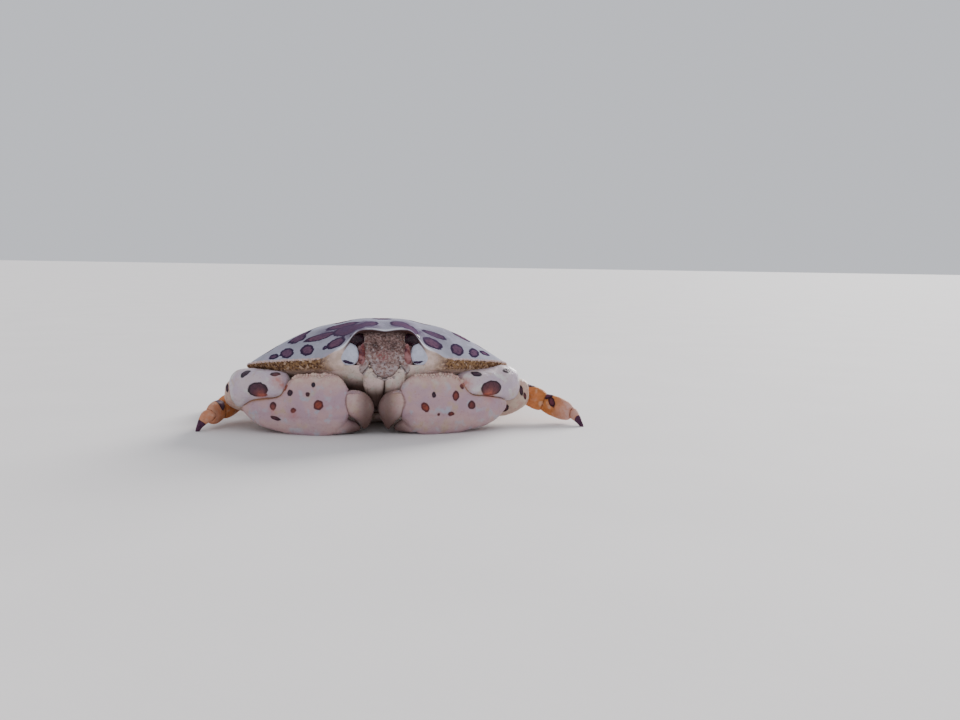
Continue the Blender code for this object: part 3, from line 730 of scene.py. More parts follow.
def facePlate():
    size = faceSizes
    rows, columns = 120, 240
    polar = np.linspace(0.01, math.pi / 2, rows)[:, None]
    around = np.linspace(0, 2 * math.pi, columns, endpoint=False)[None, :]
    radius = polar / (math.pi / 2)
    x = size["halfWidth"] * radius * signedPower(np.cos(around), 2 / size["squareness"])
    middle, half = (size["high"] + size["low"]) / 2, (size["high"] - size["low"]) / 2
    z = middle + half * radius * signedPower(np.sin(around), 2 / size["squareness"])
    edge = (1 - radius**10) ** (1 / 4)
    swell = size["crown"] + 1.2 * step(5.6 - z, 0, 6.6) - 0.6 * step(-z - 2.0, 0, 3.0) - 0.012 * x**2
    depth = size["reach"] + edge * swell
    ridge = 0.35 * bell(x, 0.55) * step(z, -0.8, 0.8) * step(6.0 - z, 0, 1.5)
    pitX, pitZ = np.abs(x) - size["pitPlace"][0], z - size["pitPlace"][1]
    pits = size["pitDepth"] * bell(pitX * 0.87 - pitZ * 0.5, 0.55) * bell(pitZ * 0.87 + pitX * 0.5, 1.3)
    bases = 0.45 * bell(np.abs(x) - 1.7, 0.9) * bell(z - 1.2, 0.9)
    fromMouth = np.hypot(x, z - size["mouthTop"])
    below = step(size["mouthTop"] - z, -0.2, 0.5)
    rim = bell(fromMouth - size["mouthRadius"], 0.22) * below
    brow = bell(z - size["mouthTop"], 0.25) * step(3.6 - np.abs(x), 0, 0.6) * 0.6
    arms = bell((np.abs(x) - 4.5) * 0.78 + (z + 2.6) * 0.62, 0.16) * bell(z + 2.6, 1.5)
    dome = 0.5 * below * np.sqrt(np.clip(1 - (fromMouth / size["mouthRadius"]) ** 2, 0, 1))
    depth = depth + ridge - pits + bases + dome - 0.45 * rim - 0.2 * brow - 0.3 * arms
    front = stack(x, -depth, z)
    backRows = [stack(x[-1:], 0 * x[-1:] + d, z[-1:]) for d in (-16.6, size["back"])]
    backRows += [stack(x[-1:] * t, 0 * x[-1:] + size["back"], middle + (z[-1:] - middle) * t)
                 for t in (0.6, 0.05)]
    piece = skin("face", tipped(np.concatenate((front, *backRows))))
    level = levelled(pointsOf(piece))
    raised(piece, (rough(level, 0.5, 2.0, 3) * 0.09 + rough(level, 1.3, 7.0, 2) * 0.1)
           * step(-level[:, 1], 16.8, 17.4))
    extra = [np.zeros(4 * columns + 2)]
    # painted shade, kept as groove: the mouth's rim groove, the feelers' pits, the brow line, the side lines
    # and a band under the brow
    shade = np.clip(rim * 0.8 + pits * 0.7 + brow * 0.2 + arms * 0.8 + 0.6 * step(z, 4.9, 6.4), 0, 1)
    mark(piece, "groove", np.concatenate((shade.ravel(), *extra)))
    mark(piece, "low", step(-level[:, 2], -4.2, 1.6))
    mark(piece, "blush", bell(level[:, 0] + 0.6, 1.6) * bell(level[:, 2] - 0.4, 1.3) * 0.9)
    besideMouth = np.hypot(level[:, 0], level[:, 2] - size["mouthTop"]) > size["mouthRadius"] - 0.1
    mark(piece, "mouth", step(-level[:, 2], 1.2, 2.6) * besideMouth)
    sideFold = step(np.abs(level[:, 0]), 4.3, 5.0) * bell(level[:, 2] - 1.2, 2.6)
    mark(piece, "fold", sideFold)
    return piece


face = keep(facePlate(), faceSkin, "feeler")


# Jaw plates, feelers and eyes

jawSizes = {
    "low": (0.0, -12.6, -10.4), "high": (0.0, -19.8, -1.8), "halfWidths": (2.4, 3.6, 4.4, 4.8, 4.6, 4.2),
    "gap": 0.26, "grooves": (0.42, 0.84),  # shares of the plate's width, from the middle of the mouth
}


def jaw(side):
    low, high = np.array(jawSizes["low"]), np.array(jawSizes["high"])
    run = (high - low) / np.linalg.norm(high - low)
    outward = np.cross(run, (1.0, 0.0, 0.0))
    polar = np.linspace(0.03, math.pi - 0.03, 90)[:, None]
    around = np.linspace(0, 2 * math.pi, 120, endpoint=False)[None, :]
    out = signedPower(np.cos(around), 2 / 3)
    thick = signedPower(np.sin(around), 2 / 3)
    across = (1 + out) / 2
    inner, outer = jawSizes["grooves"]
    column = np.where(across < inner, across / inner, np.where(
        across < outer, (across - inner) / (outer - inner), (across - outer) / (1 - outer)))
    reach = 0.765 + 0.19 * across**2.2 + 0.008 * np.sin(math.pi * np.clip(column, 0, 1)) ** 0.7
    share = (1 - np.cos(polar)) / 2
    along = share * reach
    width = rowAt(jawSizes["halfWidths"], along) * (1 - np.abs(2 * share - 1) ** 12) ** (1 / 12)
    full = (1 - np.abs(2 * share - 1) ** 6) ** (1 / 6)
    x = jawSizes["gap"] / 2 + across * width
    groove = bell(across - inner, 0.035) + bell(across - outer, 0.03) + 0 * along
    crown = step(share, 0.8, 1.0)
    depth = thick * 1.15 * full + 0.35 * (1 - (x / 6) ** 2) - (0.12 * groove + 0.12 * crown) * (thick > 0)
    depth = depth + 0.04 * np.sin(math.pi * np.clip(column, 0, 1)) * (thick > 0)
    grid = low + (high - low) * along[..., None] - outward * depth[..., None]
    grid[..., 0] += sides[side] * x
    piece = skin(f"mouthpart_{side}", tipped(grid))
    raised(piece, rough(pointsOf(piece), 1.0, 4.0, 3) * 0.05)
    ends = [[0.0], [0.0]]
    mark(piece, "crease", np.concatenate((3.0 - 2.7 * np.clip(groove, 0, 1).ravel(), *ends)))
    # painted shade on the lower part of the jaw plates, down in the gap between the claws
    mark(piece, "deep", np.concatenate(((1 - step(along, 0.3, 0.66)).ravel() * 0.95, *ends)))
    return piece


def feeler(side):
    thick = (0.9, 1.0, 0.8, 0.6, 0.4)
    rows = 80
    grid = levelLimb(sides[side], (5.3, -19.1, -1.3), (5.1, -20.0, 3.4), thick, thick, thick, thick,
                     bow=0.3, squareness=2.0, rows=rows, columns=28)
    rings = (np.abs(np.sin(np.linspace(0, 11 * math.pi, rows))) ** 0.5)[:, None, None]
    centre = grid.mean(axis=1, keepdims=True)
    return skin(f"antenna_{side}", centre + (grid - centre) * (0.88 + 0.12 * rings))


def eye(side):
    high, wide = (1.0, 1.4, 1.55, 1.4), (0.8, 1.2, 1.4, 1.3)
    rows, columns = 60, 56
    grid = levelLimb(sides[side], (4.2, -17.6, 4.7), (8.1, -19.6, 4.4), high, high, wide, wide,
                     bluntness=2.4, squareness=2.0, rows=rows, columns=columns)
    piece = skin(f"eye_{side}", grid)
    polar = np.linspace(0.03, math.pi - 0.03, rows)
    share = np.repeat((1 - np.cos(polar)) / 2, columns)
    mark(piece, "cornea", np.concatenate((step(share, 0.2, 0.26), [0, 1])))
    return piece


feelerLook = dict(bodyLook, **{"seed": 41.0, "base": (0.14, 0.03, 0.03), "second": (0.34, 0.16, 0.16),
                               "patch": (0.10, 0.03, 0.045), "cloudSize": 1.4, "patchSize": 1.4})
feelerSkin = shellFinish("feelerShell", feelerLook)
jaws = []
for side in sides:
    jaws.append(keep(jaw(side), bodySkin, "underside", f"mouthpart_{side}"))
    keep(feeler(side), feelerSkin, "feeler", f"antenna_{side}")
    keep(eye(side), eyeSkin, "eye", f"eye_{side}")
print("face laid")


# The claws, given for the +X side. Each claw has its own pose.

clawPose = {
    "left": {
        "arm": ((9.6, -7.8, 6.2), (37.2, -7.6, 8.4)), "armBelow": (2.6, 3.4, 4.8, 6.0, 4.8),
        "wrist": ((33.3, -9.6, 9.8), (17.7, -18.8, 11.2)), "wristAbove": (5.0, 5.2, 4.4, 3.9, 3.6),
        "wristBelow": (4.0, 3.6, 3.2, 2.8, 2.8),
        "palm": ((30.0, -15.2, 6.8), (3.7, -22.0, 6.3)), "finger": ((5.1, -21.5, 9.8), (0.6, -20.6, 1.5)),
        "fixedFinger": ((9.0, -20.2, 2.9), (2.4, -19.8, 1.3)),
        "palmAbove": (0.2, 1.4, 2.3, 3.0, 7.0, 7.6, 7.7, 7.9, 7.4),
        "palmBelow": (2.6, 4.8, 5.8, 6.3, 6.9, 7.1, 7.0, 6.1, 3.6),
    },
    "right": {
        "arm": ((9.6, -7.8, 6.2), (37.2, -7.4, 8.6)), "armBelow": (2.6, 3.2, 3.8, 4.6, 4.4),
        "wrist": ((34.9, -9.2, 9.9), (22.4, -18.4, 11.0)), "wristAbove": (4.4, 4.5, 4.1, 3.8, 3.8),
        "wristBelow": (5.4, 4.9, 3.4, 2.8, 2.8),
        "palm": ((32.4, -13.9, 5.6), (8.4, -22.0, 6.3)), "finger": ((9.2, -21.4, 9.8), (4.3, -20.4, 1.5)),
        "fixedFinger": ((13.0, -20.2, 2.9), (5.6, -19.8, 1.3)),
        "palmAbove": (0.4, 2.9, 3.3, 3.6, 7.3, 7.9, 8.0, 8.2, 7.6),
        "palmBelow": (1.8, 3.8, 4.9, 5.7, 6.4, 6.8, 6.8, 6.0, 3.6),
    },
}
clawSizes = {  # rows of sizes from the root to the tip, and how the tips are rounded
    "arm": {"above": (2.6, 3.2, 3.6, 4.0, 3.8), "ahead": (2.0, 2.3, 2.5, 2.7, 2.6),
            "behind": (2.0, 2.2, 2.4, 2.6, 2.4), "rows": 90, "columns": 80},
    "wrist": {"ahead": (3.2, 4.2, 4.6, 4.4, 3.6), "behind": (3.2, 4.0, 4.2, 3.8, 2.8),
              "bluntness": 3.8, "squareness": 2.5, "rows": 110, "columns": 120},
    "palm": {"ahead": (1.0, 2.4, 3.4, 4.0, 4.2, 4.1, 3.8, 3.3, 2.5),
             "behind": (1.2, 2.2, 2.9, 3.3, 3.4, 3.3, 3.1, 2.6, 1.8),
             "bluntness": 5.0, "squareness": 2.4, "rows": 120, "columns": 110},
    "fixedFinger": {"above": (2.0, 2.0, 1.6, 0.8), "below": (2.4, 2.3, 1.5, 0.8),
                    "ahead": (2.4, 2.2, 1.7, 0.8), "behind": (2.2, 2.1, 1.7, 0.8)},
    "finger": {"above": (2.2, 2.6, 2.5, 2.1, 1.0), "below": (3.0, 4.0, 3.9, 2.5, 0.9),
               "ahead": (1.5, 2.0, 2.1, 1.8, 0.8), "behind": (1.6, 2.1, 2.1, 1.7, 0.8),
               "bow": 2.0, "rows": 80, "columns": 72},
}
clawShade = {  # shares of painted shade, and distances from the tip of the finger outward and from the floor up
    "finger": 0.75, "palm": 0.5, "outward": 3.4, "outwardFade": 3.6,
    "low": 0.9, "lowTop": 7.4, "lowFade": 7.0, "lowOutward": 7.0, "lowOutwardFade": 4.4,
}
clawSpots = {  # (x, y, z, half width, half height, turn, redness) in the floor's frame
    "left": {
        "palm": ((7.8, -30.4, 9.5, 0.5, 0.7, 0, 0.1), (13.2, -29.4, 9.0, 0.85, 1.15, -5, 0.75),
                 (6.0, -30.7, 6.8, 0.85, 1.3, 38, 1.0), (9.0, -30.4, 5.0, 0.3, 0.3, 0, 0.8),
                 (12.1, -29.7, 5.0, 0.75, 0.55, 0, 0.9), (17.3, -28.3, 6.6, 1.05, 1.0, 0, 0.6),
                 (14.9, -28.3, 11.1, 0.55, 0.65, 0, 0.5)),
        "wrist": ((22.3, -26.1, 10.5, 2.9, 1.85, 0, 0.15), (22.1, -26.1, 9.4, 1.9, 0.8, 0, 1.0),
                  (18.5, -26.2, 13.8, 1.35, 0.85, -5, 0.0), (26.5, -22.3, 14.1, 1.2, 0.7, 20, 0.1)),
        "arm": ((31.6, -17.1, 8.5, 0.5, 1.4, 10, 0.1), (32.6, -16.9, 7.2, 0.4, 1.0, 20, 0.5),
                (27.6, -19.0, 4.0, 1.2, 0.9, 30, 0.2)),
    },
    "right": {
        "palm": ((-24.9, -28.1, 9.9, 0.72, 0.75, 0, 0.1), (-19.7, -29.3, 11.8, 0.5, 0.68, 0, 0.0),
                 (-20.8, -29.5, 9.7, 0.5, 0.55, 0, 0.4), (-18.4, -30.2, 7.3, 1.15, 1.15, 0, 1.0),
                 (-28.7, -27.0, 6.7, 0.8, 0.95, 0, 0.5), (-24.1, -28.7, 5.9, 0.65, 0.6, 0, 0.8),
                 (-28.1, -27.1, 4.0, 1.3, 0.45, -12, 0.2), (-26.4, -27.0, 11.1, 0.55, 0.8, -40, 0.8)),
        "wrist": ((-32.3, -25.8, 10.4, 2.6, 1.75, 8, 0.1), (-31.8, -25.9, 9.4, 1.9, 0.7, 0, 0.8),
                  (-35.1, -22.4, 13.7, 1.4, 1.0, 30, 0.0), (-28.2, -25.7, 13.9, 1.2, 0.8, 0, 0.1)),
        "arm": ((-39.6, -16.0, 9.6, 0.5, 1.1, 0, 0.1),),
    },
}
clawBlushes = {  # (x, y, z, radius, strength) of reddish glows without a rim
    "left": {"wrist": ((15.7, -27.4, 11.7, 1.5, 1.0), (21.8, -26.0, 8.9, 1.6, 1.0),
                       (14.4, -27.0, 13.0, 0.9, 1.0)),
             "palm": ((21.7, -25.3, 8.4, 1.5, 0.8), (14.9, -28.4, 12.0, 0.8, 0.8))},
    "right": {"wrist": ((-27.8, -26.8, 12.5, 1.3, 1.0), (-26.9, -26.8, 11.6, 1.0, 1.0),
                        (-31.4, -26.0, 8.9, 1.3, 1.0)),
              "palm": ((-26.3, -26.6, 11.0, 0.9, 1.0), (-28.9, -27.0, 5.6, 1.0, 0.6),
                       (-24.1, -28.7, 4.8, 1.1, 0.6))},
}
clawNeighbours = {  # part: the parts that leave a broad dark seam on it, and those that leave a thin one
    "arm": (("wrist",), ()), "wrist": (("palm",), ("arm",)), "palm": (("wrist", "arm"), ("finger",)),
    "finger": ((), ("palm",)),
}


def clawPart(side, kind, name=None):
    joint, row = clawPose[side], dict(clawSizes[kind])
    sizes = [row.pop(key, None) or joint[kind + key.capitalize()]
             for key in ("above", "below", "ahead", "behind")]
    return skin(name or f"claw_{kind}_{side}", limbGrid(sides[side], *joint[kind], *sizes, **row))


def clawFolds(palm):  # a rounded collar where the palm meets the wrist, and a fold low on its face
    points = pointsOf(palm)
    fromWrist, fromFinger = valuesOf(palm, "seam"), valuesOf(palm, "crease")
    fold = bell(points[:, 2] - 4.1 - 0.6 * rough(points, 9.0, 4.0), 0.45)
    raised(palm, 0.22 * bell(fromWrist - 0.5, 0.32) + 0.1 * bell(fromFinger - 0.4, 0.25) - 0.1 * fold)
    high = pointsOf(palm)[:, 2]
    mark(palm, "pale", np.clip(bell(high - 13.0, 1.6) * 0.7 + bell(high - 2.2, 1.6) * 0.3, 0, 1))


def paintClawShade(piece, side, kind):  # painted shade where the two claws face each other, and low down beside the fixed finger
    points, look = pointsOf(piece), clawShade
    tip = clawPose[side]["finger"][1][0]
    outward = sides[side] * (points[:, 0] - stance["shift"][0]) - tip
    shade = step(look["outward"] - outward, 0, look["outwardFade"]) * look[kind]
    low = step(look["lowTop"] - points[:, 2], 0, look["lowFade"]) * look["low"]
    low = low * step(look["lowOutward"] - outward, 0, look["lowOutwardFade"])
    mark(piece, "deep", 1 - (1 - shade) * (1 - low))


def claw(side):
    arm, wrist = clawPart(side, "arm"), clawPart(side, "wrist")
    hand, fixed = clawPart(side, "palm", "hand"), clawPart(side, "fixedFinger", "fixedFinger")
    palm = blended(joined(f"claw_palm_{side}", [hand, fixed]), 0.2, 5)
    parts = {"arm": arm, "wrist": wrist, "palm": palm, "finger": clawPart(side, "finger")}
    for piece in parts.values():
        points = pointsOf(piece)
        raised(piece, rough(points, 2.6, 9.0, 3) * 0.13 + rough(points, 0.8, 1.0, 2) * 0.04)
    for kind, piece in parts.items():
        for name, neighbours in zip(("seam", "crease"), clawNeighbours[kind]):
            markSeams(piece, [parts[other] for other in neighbours], name)
    for kind, piece in parts.items():
        if kind == "palm":
            clawFolds(piece)
        elif kind != "wrist":
            mark(piece, "pale", np.full(len(piece.data.vertices), 1.0 if kind == "arm" else 0.5))
        if kind in clawShade:
            paintClawShade(piece, side, kind)
        points = pointsOf(piece)
        points[:, 2] = np.maximum(points[:, 2], 0.0)
        moveTo(piece, points)
        markSpots(piece, clawSpots[side].get(kind, ()))
        markBlush(piece, clawBlushes[side].get(kind, ()))
        keep(piece, wristSkin if kind == "wrist" else clawSkin, "claw", f"claw_{kind}_{side}")
    return parts


claws = {side: claw(side) for side in sides}
print("claws folded")


# The walking legs, from hip to tip, given for the +X side

legJoints = {
    "leg1_left": ((11.0, -1.0, 5.6), (15.5, -0.8, 6.2), (35.6, -1.6, 7.8), (42.2, -5.4, 4.9),
                  (48.4, -9.2, 2.5), (49.8, -14.4, -0.4)),
    "leg1_right": ((11.0, -1.0, 5.6), (15.5, -0.8, 6.2), (34.4, 1.0, 5.4), (38.4, -5.4, 3.9),
                   (40.3, -12.2, 3.5), (43.2, -13.4, -0.4)),
    "leg2_left": ((10.8, 4.3, 5.2), (15.0, 4.8, 5.7), (32.6, 9.8, 7.9), (37.2, 14.4, 5.9),
                  (40.4, 21.2, 3.9), (40.9, 27.4, -0.4)),
    "leg2_right": ((10.8, 4.3, 5.2), (15.0, 4.8, 5.7), (32.0, 9.6, 7.9), (35.8, 13.9, 5.9),
                   (38.4, 20.8, 3.9), (39.0, 27.0, -0.4)),
    "leg3_left": ((10.0, 9.6, 4.8), (13.8, 10.8, 5.3), (26.6, 18.4, 7.9), (29.8, 23.6, 5.9),
                  (31.8, 30.4, 3.8), (31.5, 36.2, -0.4)),
    "leg3_right": ((10.0, 9.6, 4.8), (13.8, 10.8, 5.3), (26.6, 18.0, 7.9), (30.2, 23.0, 5.9),
                   (33.0, 29.4, 3.8), (33.4, 35.2, -0.4)),
    "leg4_left": ((8.6, 14.2, 4.5), (11.2, 16.2, 5.0), (18.8, 23.4, 7.9), (20.4, 28.2, 6.0),
                  (20.8, 33.6, 3.7), (19.8, 38.4, -0.4)),
    "leg4_right": ((8.6, 14.2, 4.5), (11.2, 16.2, 5.0), (18.8, 23.2, 7.9), (20.8, 27.8, 6.0),
                   (21.8, 33.0, 3.7), (21.4, 37.6, -0.4)),
}
legSizes = {"leg1": 1.0, "leg2": 1.0, "leg3": 0.93, "leg4": 0.78}
legSegments = {  # half heights and half widths, and spots as (share along, turn round, half sizes, redness)
    "coxa": {"high": (2.3, 2.5, 2.3), "wide": (2.1, 2.3, 2.1), "spots": ()},
    "merus": {"high": (1.7, 2.5, 2.9, 2.9, 2.6), "wide": (1.4, 1.8, 1.9, 1.9, 1.8),
              "spots": ((0.3, 60, 1.5, 0.9, 0.3), (0.58, 85, 1.3, 0.9, 0.2), (0.88, 80, 1.5, 1.2, 0.1))},
    "carpus": {"high": (2.2, 2.5, 2.8, 2.7), "wide": (1.4, 1.7, 1.9, 1.8),
               "spots": ((0.25, 95, 0.9, 0.8, 0.1),)},
    "propodus": {"high": (2.3, 2.6, 2.6, 2.1), "wide": (1.3, 1.5, 1.5, 1.3),
                 "spots": ((0.14, 85, 1.5, 1.2, 0.0), (0.34, 60, 1.2, 0.6, 0.2))},
    "dactyl": {"high": (1.4, 1.5, 1.1, 0.7, 0.4), "wide": (1.0, 1.0, 0.8, 0.5, 0.35), "spots": ()},
}
jointInset = 1.1  # how far each segment starts inside the one before it
legMarks = {  # spots of the two front legs, in the floor's frame
    "leg1_right_propodus": ((-41.5, -15.2, 5.8, 1.9, 1.6, 0, 0.0),),
    "leg1_left_carpus": ((35.3, -10.8, 9.2, 1.3, 1.1, -20, 0.1),),
    "leg1_left_propodus": ((39.5, -13.7, 6.7, 1.3, 1.0, 0, 0.1), (40.1, -15.0, 5.5, 0.8, 1.5, 20, 0.3)),
}


def leg(name):
    size, side = legSizes[name.split("_")[0]], sides[name.split("_")[1]]
    joints = [np.array(p) for p in legJoints[name]]
    parts = []
    for number, (kind, row) in enumerate(legSegments.items()):
        start, end = joints[number], joints[number + 1]
        if number:
            start = start - (end - start) / np.linalg.norm(end - start) * jointInset * size
        high, wide = ([size * value for value in row[key]] for key in ("high", "wide"))
        rows, columns = (56, 48) if kind != "coxa" else (36, 36)
        grid = limbGrid(side, start, end, high, high, wide, wide, bluntness=5.0, rows=rows, columns=columns,
                        bow=0.5 * size if kind in ("merus", "dactyl") else 0.0)
        piece = skin(f"{name}_{kind}", grid)
        points = pointsOf(piece)
        raised(piece, rough(points, 1.8, number + 2.0, 2) * 0.06)
        points = pointsOf(piece)
        points[:, 2] = np.maximum(points[:, 2], 0.0)
        moveTo(piece, points)
        share = (1 - np.cos(np.linspace(0.03, math.pi - 0.03, rows))) / 2
        spots = []
        for along, turn, wideSpot, highSpot, red in row["spots"]:
            r = int(np.argmin(np.abs(share - along)))
            c = round(turn / 360 * columns) % columns
            spots.append((*grid[r, c], wideSpot * size, highSpot * size, 0, red))
        markSpots(piece, legMarks.get(f"{name}_{kind}", spots))
        if kind == "dactyl":
            layer = np.concatenate((np.repeat(step(share, 0.45, 0.62), columns), [0, 1]))
            mark(piece, "spot", 1.5 - 3.2 * layer)
        paler = {"propodus": step(share, 0.35, 0.9) * 0.8, "dactyl": 0.8 - 0.3 * share}.get(kind, 0.0 * share)
        paler = paler * (0.45 if name == "leg1_right" else 1.0)
        mark(piece, "pale", np.concatenate((np.repeat(paler, columns), [0, 0])))
        parts.append(piece)
    for number, piece in enumerate(parts):
        markSeams(piece, parts[max(0, number - 1):number] + parts[number + 1:number + 2])
        kind = list(legSegments)[number]
        keep(piece, bodySkin if kind == "coxa" else legSkin, "underside" if kind == "coxa" else "leg",
             f"{name}_{kind}")


for name in legJoints:
    leg(name)
print("legs folded")


# Granules along the shell's edge: a tree that sets beads along a line

def newTree(name, inputs):
    tree = bpy.data.node_groups.new(name, "GeometryNodeTree")
    tree.interface.new_socket("Geometry", in_out="INPUT", socket_type="NodeSocketGeometry")
    for label, kind in inputs.items():
        tree.interface.new_socket(label, in_out="INPUT", socket_type=kind)
    tree.interface.new_socket("Geometry", in_out="OUTPUT", socket_type="NodeSocketGeometry")
    return tree


def granuleTree():
    tree = newTree("edgeGranules", {"Count": "NodeSocketInt", "Radius": "NodeSocketFloat",
                                    "Seed": "NodeSocketInt", "Finish": "NodeSocketMaterial"})
    given = tree.nodes.new("NodeGroupInput").outputs
    curve = wire(tree, "GeometryNodeMeshToCurve", None, {"Mesh": given["Geometry"]})
    points = wire(tree, "GeometryNodeResampleCurve", None, {
        "Curve": curve.outputs[0], "Count": given["Count"]})
    bead = wire(tree, "GeometryNodeMeshIcoSphere", None, {"Radius": given["Radius"], "Subdivisions": 2})
    size = wire(tree, "FunctionNodeRandomValue", {"data_type": "FLOAT"}, {"Seed": given["Seed"]})
    size.inputs[2].default_value, size.inputs[3].default_value = 0.55, 1.15
    placed = wire(tree, "GeometryNodeInstanceOnPoints", None, {
        "Points": points.outputs[0], "Instance": bead.outputs[0], "Scale": size.outputs[1]})
    real = wire(tree, "GeometryNodeRealizeInstances", None, {0: placed.outputs[0]})
    smooth = wire(tree, "GeometryNodeSetShadeSmooth", None, {0: real.outputs[0]})
    painted = wire(tree, "GeometryNodeSetMaterial", None, {0: smooth.outputs[0], "Material": given["Finish"]})
    wire(tree, "NodeGroupOutput", None, {0: painted.outputs[0]})
    return tree


def grown(name, points, tree, values):  # runs a tree on a line of points
    mesh = bpy.data.meshes.new(name)
    mesh.from_pydata((points * mm).tolist(), [(i, i + 1) for i in range(len(points) - 1)], [])
    piece = bpy.data.objects.new(name, mesh)
    bpy.context.scene.collection.objects.link(piece)
    grow = piece.modifiers.new("Grow", "NODES")
    grow.node_group = tree
    for socket in tree.interface.items_tree:
        if socket.in_out == "INPUT" and socket.name in values:
            grow[socket.identifier] = values[socket.name]
    return baked(piece)


def edgeLine(start, end, inset, drop, count=400):
    around = np.radians(np.linspace(start, end, count))
    x, y = shellOutline(around)
    shrink = 1 - inset / np.hypot(x, y)
    return tipped(stack(x * shrink, y * shrink, shellHeight(x, y, 1.0) - drop))


edgeLook = dict(shellLook, **{"seed": 51.0, "base": (0.60, 0.47, 0.46), "second": (0.50, 0.34, 0.29),
                              "cloudSize": 1.2, "patch": (0.62, 0.54, 0.53), "patchSize": 1.0})
edgeLook.pop("under")
edgeSkin = shellFinish("edgeGranule", edgeLook)
granules = granuleTree()
edgeRows = (  # name, from and to in degrees, inset, drop, how many, radius, seed
    ("edge_granules_left", -64, 14, 0.02, 0.12, 150, 0.34, 1),
    ("edge_granules_right", 244, 166, 0.02, 0.12, 150, 0.34, 2),
    ("under_granules_left", -62, 10, 0.25, 0.62, 190, 0.22, 3),
    ("under_granules_right", 242, 170, 0.25, 0.62, 190, 0.22, 4),
    ("back_granules", 24, 156, 0.05, 0.2, 230, 0.26, 5),
)
for name, start, end, inset, drop, count, radius, seed in edgeRows:
    beads = grown(name, edgeLine(start, end, inset, drop), granules,
                  {"Count": count, "Radius": radius * mm, "Seed": seed, "Finish": edgeSkin})
    keep(beads, None, "shell")


def crestLine(piece, start, end, ahead, count=60):  # along the top of a claw part, a little to its front
    points = pointsOf(piece)
    line = []
    for x in np.linspace(start, end, count):
        near = points[np.abs(points[:, 0] - x) < 0.35]
        line.append(near[np.argmax(near[:, 2] - ahead * near[:, 1])])
    line = np.array(line)
    padded = np.concatenate((line[:1].repeat(3, 0), line, line[-1:].repeat(3, 0)))
    return sum(padded[i:i + count] for i in range(7)) / 7


crests = (  # side, part, from and to across, how far to the front, how many, radius, seed
    ("left", "palm", 3.4, 15.4, 0.35, 17, 0.5, 6), ("left", "palm", 4.4, 14.0, 0.9, 13, 0.34, 7),
    ("right", "palm", -15.4, -24.6, 0.35, 14, 0.5, 8), ("right", "palm", -16.4, -23.6, 0.9, 11, 0.34, 9),
    ("left", "finger", -1.6, 2.4, 0.8, 8, 0.4, 10), ("right", "finger", -9.0, -13.0, 0.8, 8, 0.4, 11),
)
for number, (side, kind, start, end, ahead, count, radius, seed) in enumerate(crests):
    beads = grown(f"crest_granules_{number}", crestLine(claws[side][kind], start, end, ahead), granules,
                  {"Count": count, "Radius": radius * mm, "Seed": seed, "Finish": clawSkin})
    mark(beads, "pale", np.full(len(beads.data.vertices), 0.8 if kind == "palm" else 0.1))
    # painted shade on the finger's beads, as on the finger itself
    mark(beads, "deep", np.full(len(beads.data.vertices), 0.0 if kind == "palm" else 0.3))
    keep(beads, None, "claw")
print("edges beaded")


# Pieces without a mark of their own still carry every attribute that their finish reads

plainValues = {
    "spot": 9.0, "red": 0.0, "seam": 3.0, "crease": 3.0, "under": 0.0, "inner": 0.0, "pale": 0.0,
    "deep": 0.0, "blush": 0.0, "rim": 0.0,
}

for piece, slot, nodes in made:
    for label, value in plainValues.items():
        if not piece.data.attributes.get(label):
            mark(piece, label, np.full(len(piece.data.vertices), value))

for piece, slot, nodes in made:
    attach(piece, "root")
    if nodes:
        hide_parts(*nodes)


# Studio: a plain pale floor, soft lights, and the view

studio = {
    "floor": (0.76, 0.735, 0.73), "world": (0.82, 0.84, 0.90), "worldStrength": 0.86,
    "place": (-19.9, -250.0, 39.35), "turn": 9.97, "down": 5.57, "roll": 0.9, "lens": 36.0,
}


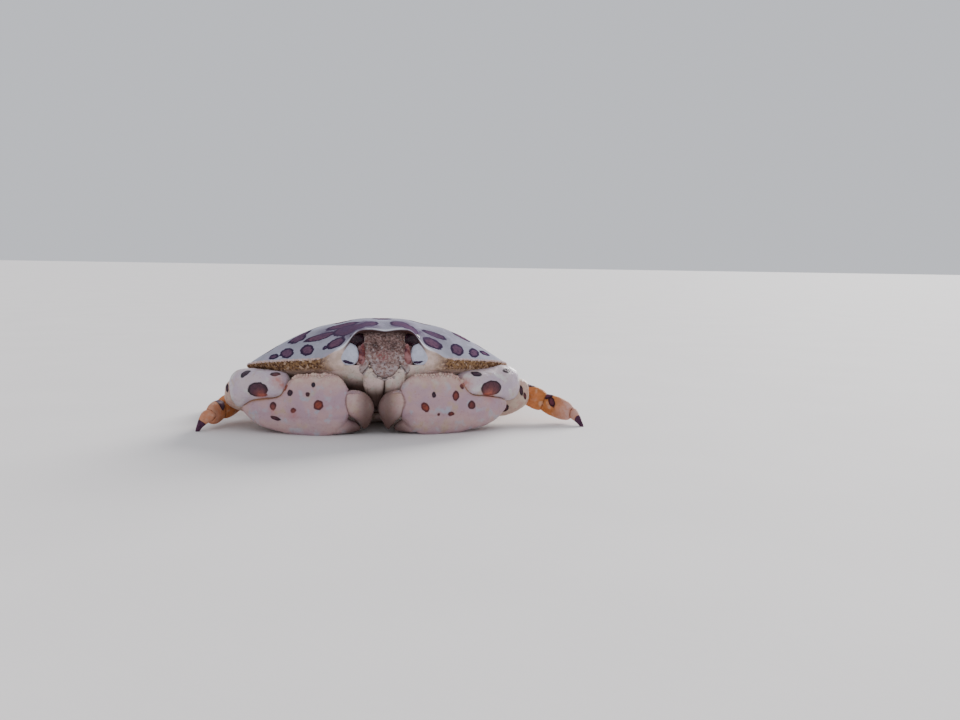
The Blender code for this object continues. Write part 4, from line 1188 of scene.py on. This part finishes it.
def plainFloor():
    mesh = bpy.data.meshes.new("floor")
    mesh.from_pydata([(-30, -30, 0), (30, -30, 0), (30, 30, 0), (-30, 30, 0)], [], [(0, 1, 2, 3)])
    m = Mixer("paleFloor")
    shaded = tuple(0.97 * value for value in studio["floor"])
    colour = m.mix(m.between(m.clouds(40.0, 2.0), 0.3, 0.7), studio["floor"], shaded)
    mesh.materials.append(m.finish(colour, 0.85, m.clouds(3.0, 2.0), 0.02))
    plane = bpy.data.objects.new("floor", mesh)
    bpy.context.scene.collection.objects.link(plane)


def softSun(name, source, strength, spread, colour):  # even light from one side of the sky
    light = bpy.data.lights.new(name, "SUN")
    light.energy, light.color, light.angle = strength, colour, math.radians(spread)
    lamp = bpy.data.objects.new(name, light)
    lamp.rotation_euler = (-Vector(source)).to_track_quat("-Z", "Y").to_euler()
    bpy.context.scene.collection.objects.link(lamp)


def camera():
    turn, down, roll = (math.radians(studio[key]) for key in ("turn", "down", "roll"))
    ahead = Vector((math.sin(turn) * math.cos(down), math.cos(turn) * math.cos(down), -math.sin(down)))
    right = ahead.cross(Vector((0, 0, 1))).normalized()
    upward = right.cross(ahead)
    tiltedRight = right * math.cos(roll) + upward * math.sin(roll)
    tiltedUp = upward * math.cos(roll) - right * math.sin(roll)
    lens = bpy.data.cameras.new("camera")
    lens.lens, lens.sensor_width, lens.clip_start = studio["lens"], 36.0, 0.005
    eyePoint = bpy.data.objects.new("camera", lens)
    turnTo = Matrix((tiltedRight, tiltedUp, -ahead)).transposed().to_4x4()
    eyePoint.matrix_world = Matrix.Translation(Vector(studio["place"]) * mm) @ turnTo
    bpy.context.scene.collection.objects.link(eyePoint)
    bpy.context.scene.camera = eyePoint


plainFloor()
softSun("sunBehind", (0.58, 0.72, 0.38), 5.4, 28, (1.0, 0.98, 0.96))
softSun("softAbove", (0.1, 0.3, 1.0), 0.1, 120, (0.95, 0.97, 1.0))
softSun("frontFill", (-0.3, -0.85, 0.4), 0.3, 70, (1.0, 0.97, 0.95))
world = bpy.data.worlds.new("studioAir")
world.use_nodes = True
backdrop = world.node_tree.nodes["Background"]
backdrop.inputs["Color"].default_value = rgb(studio["world"])
backdrop.inputs["Strength"].default_value = studio["worldStrength"]
bpy.context.scene.world = world
camera()

print("studio set")
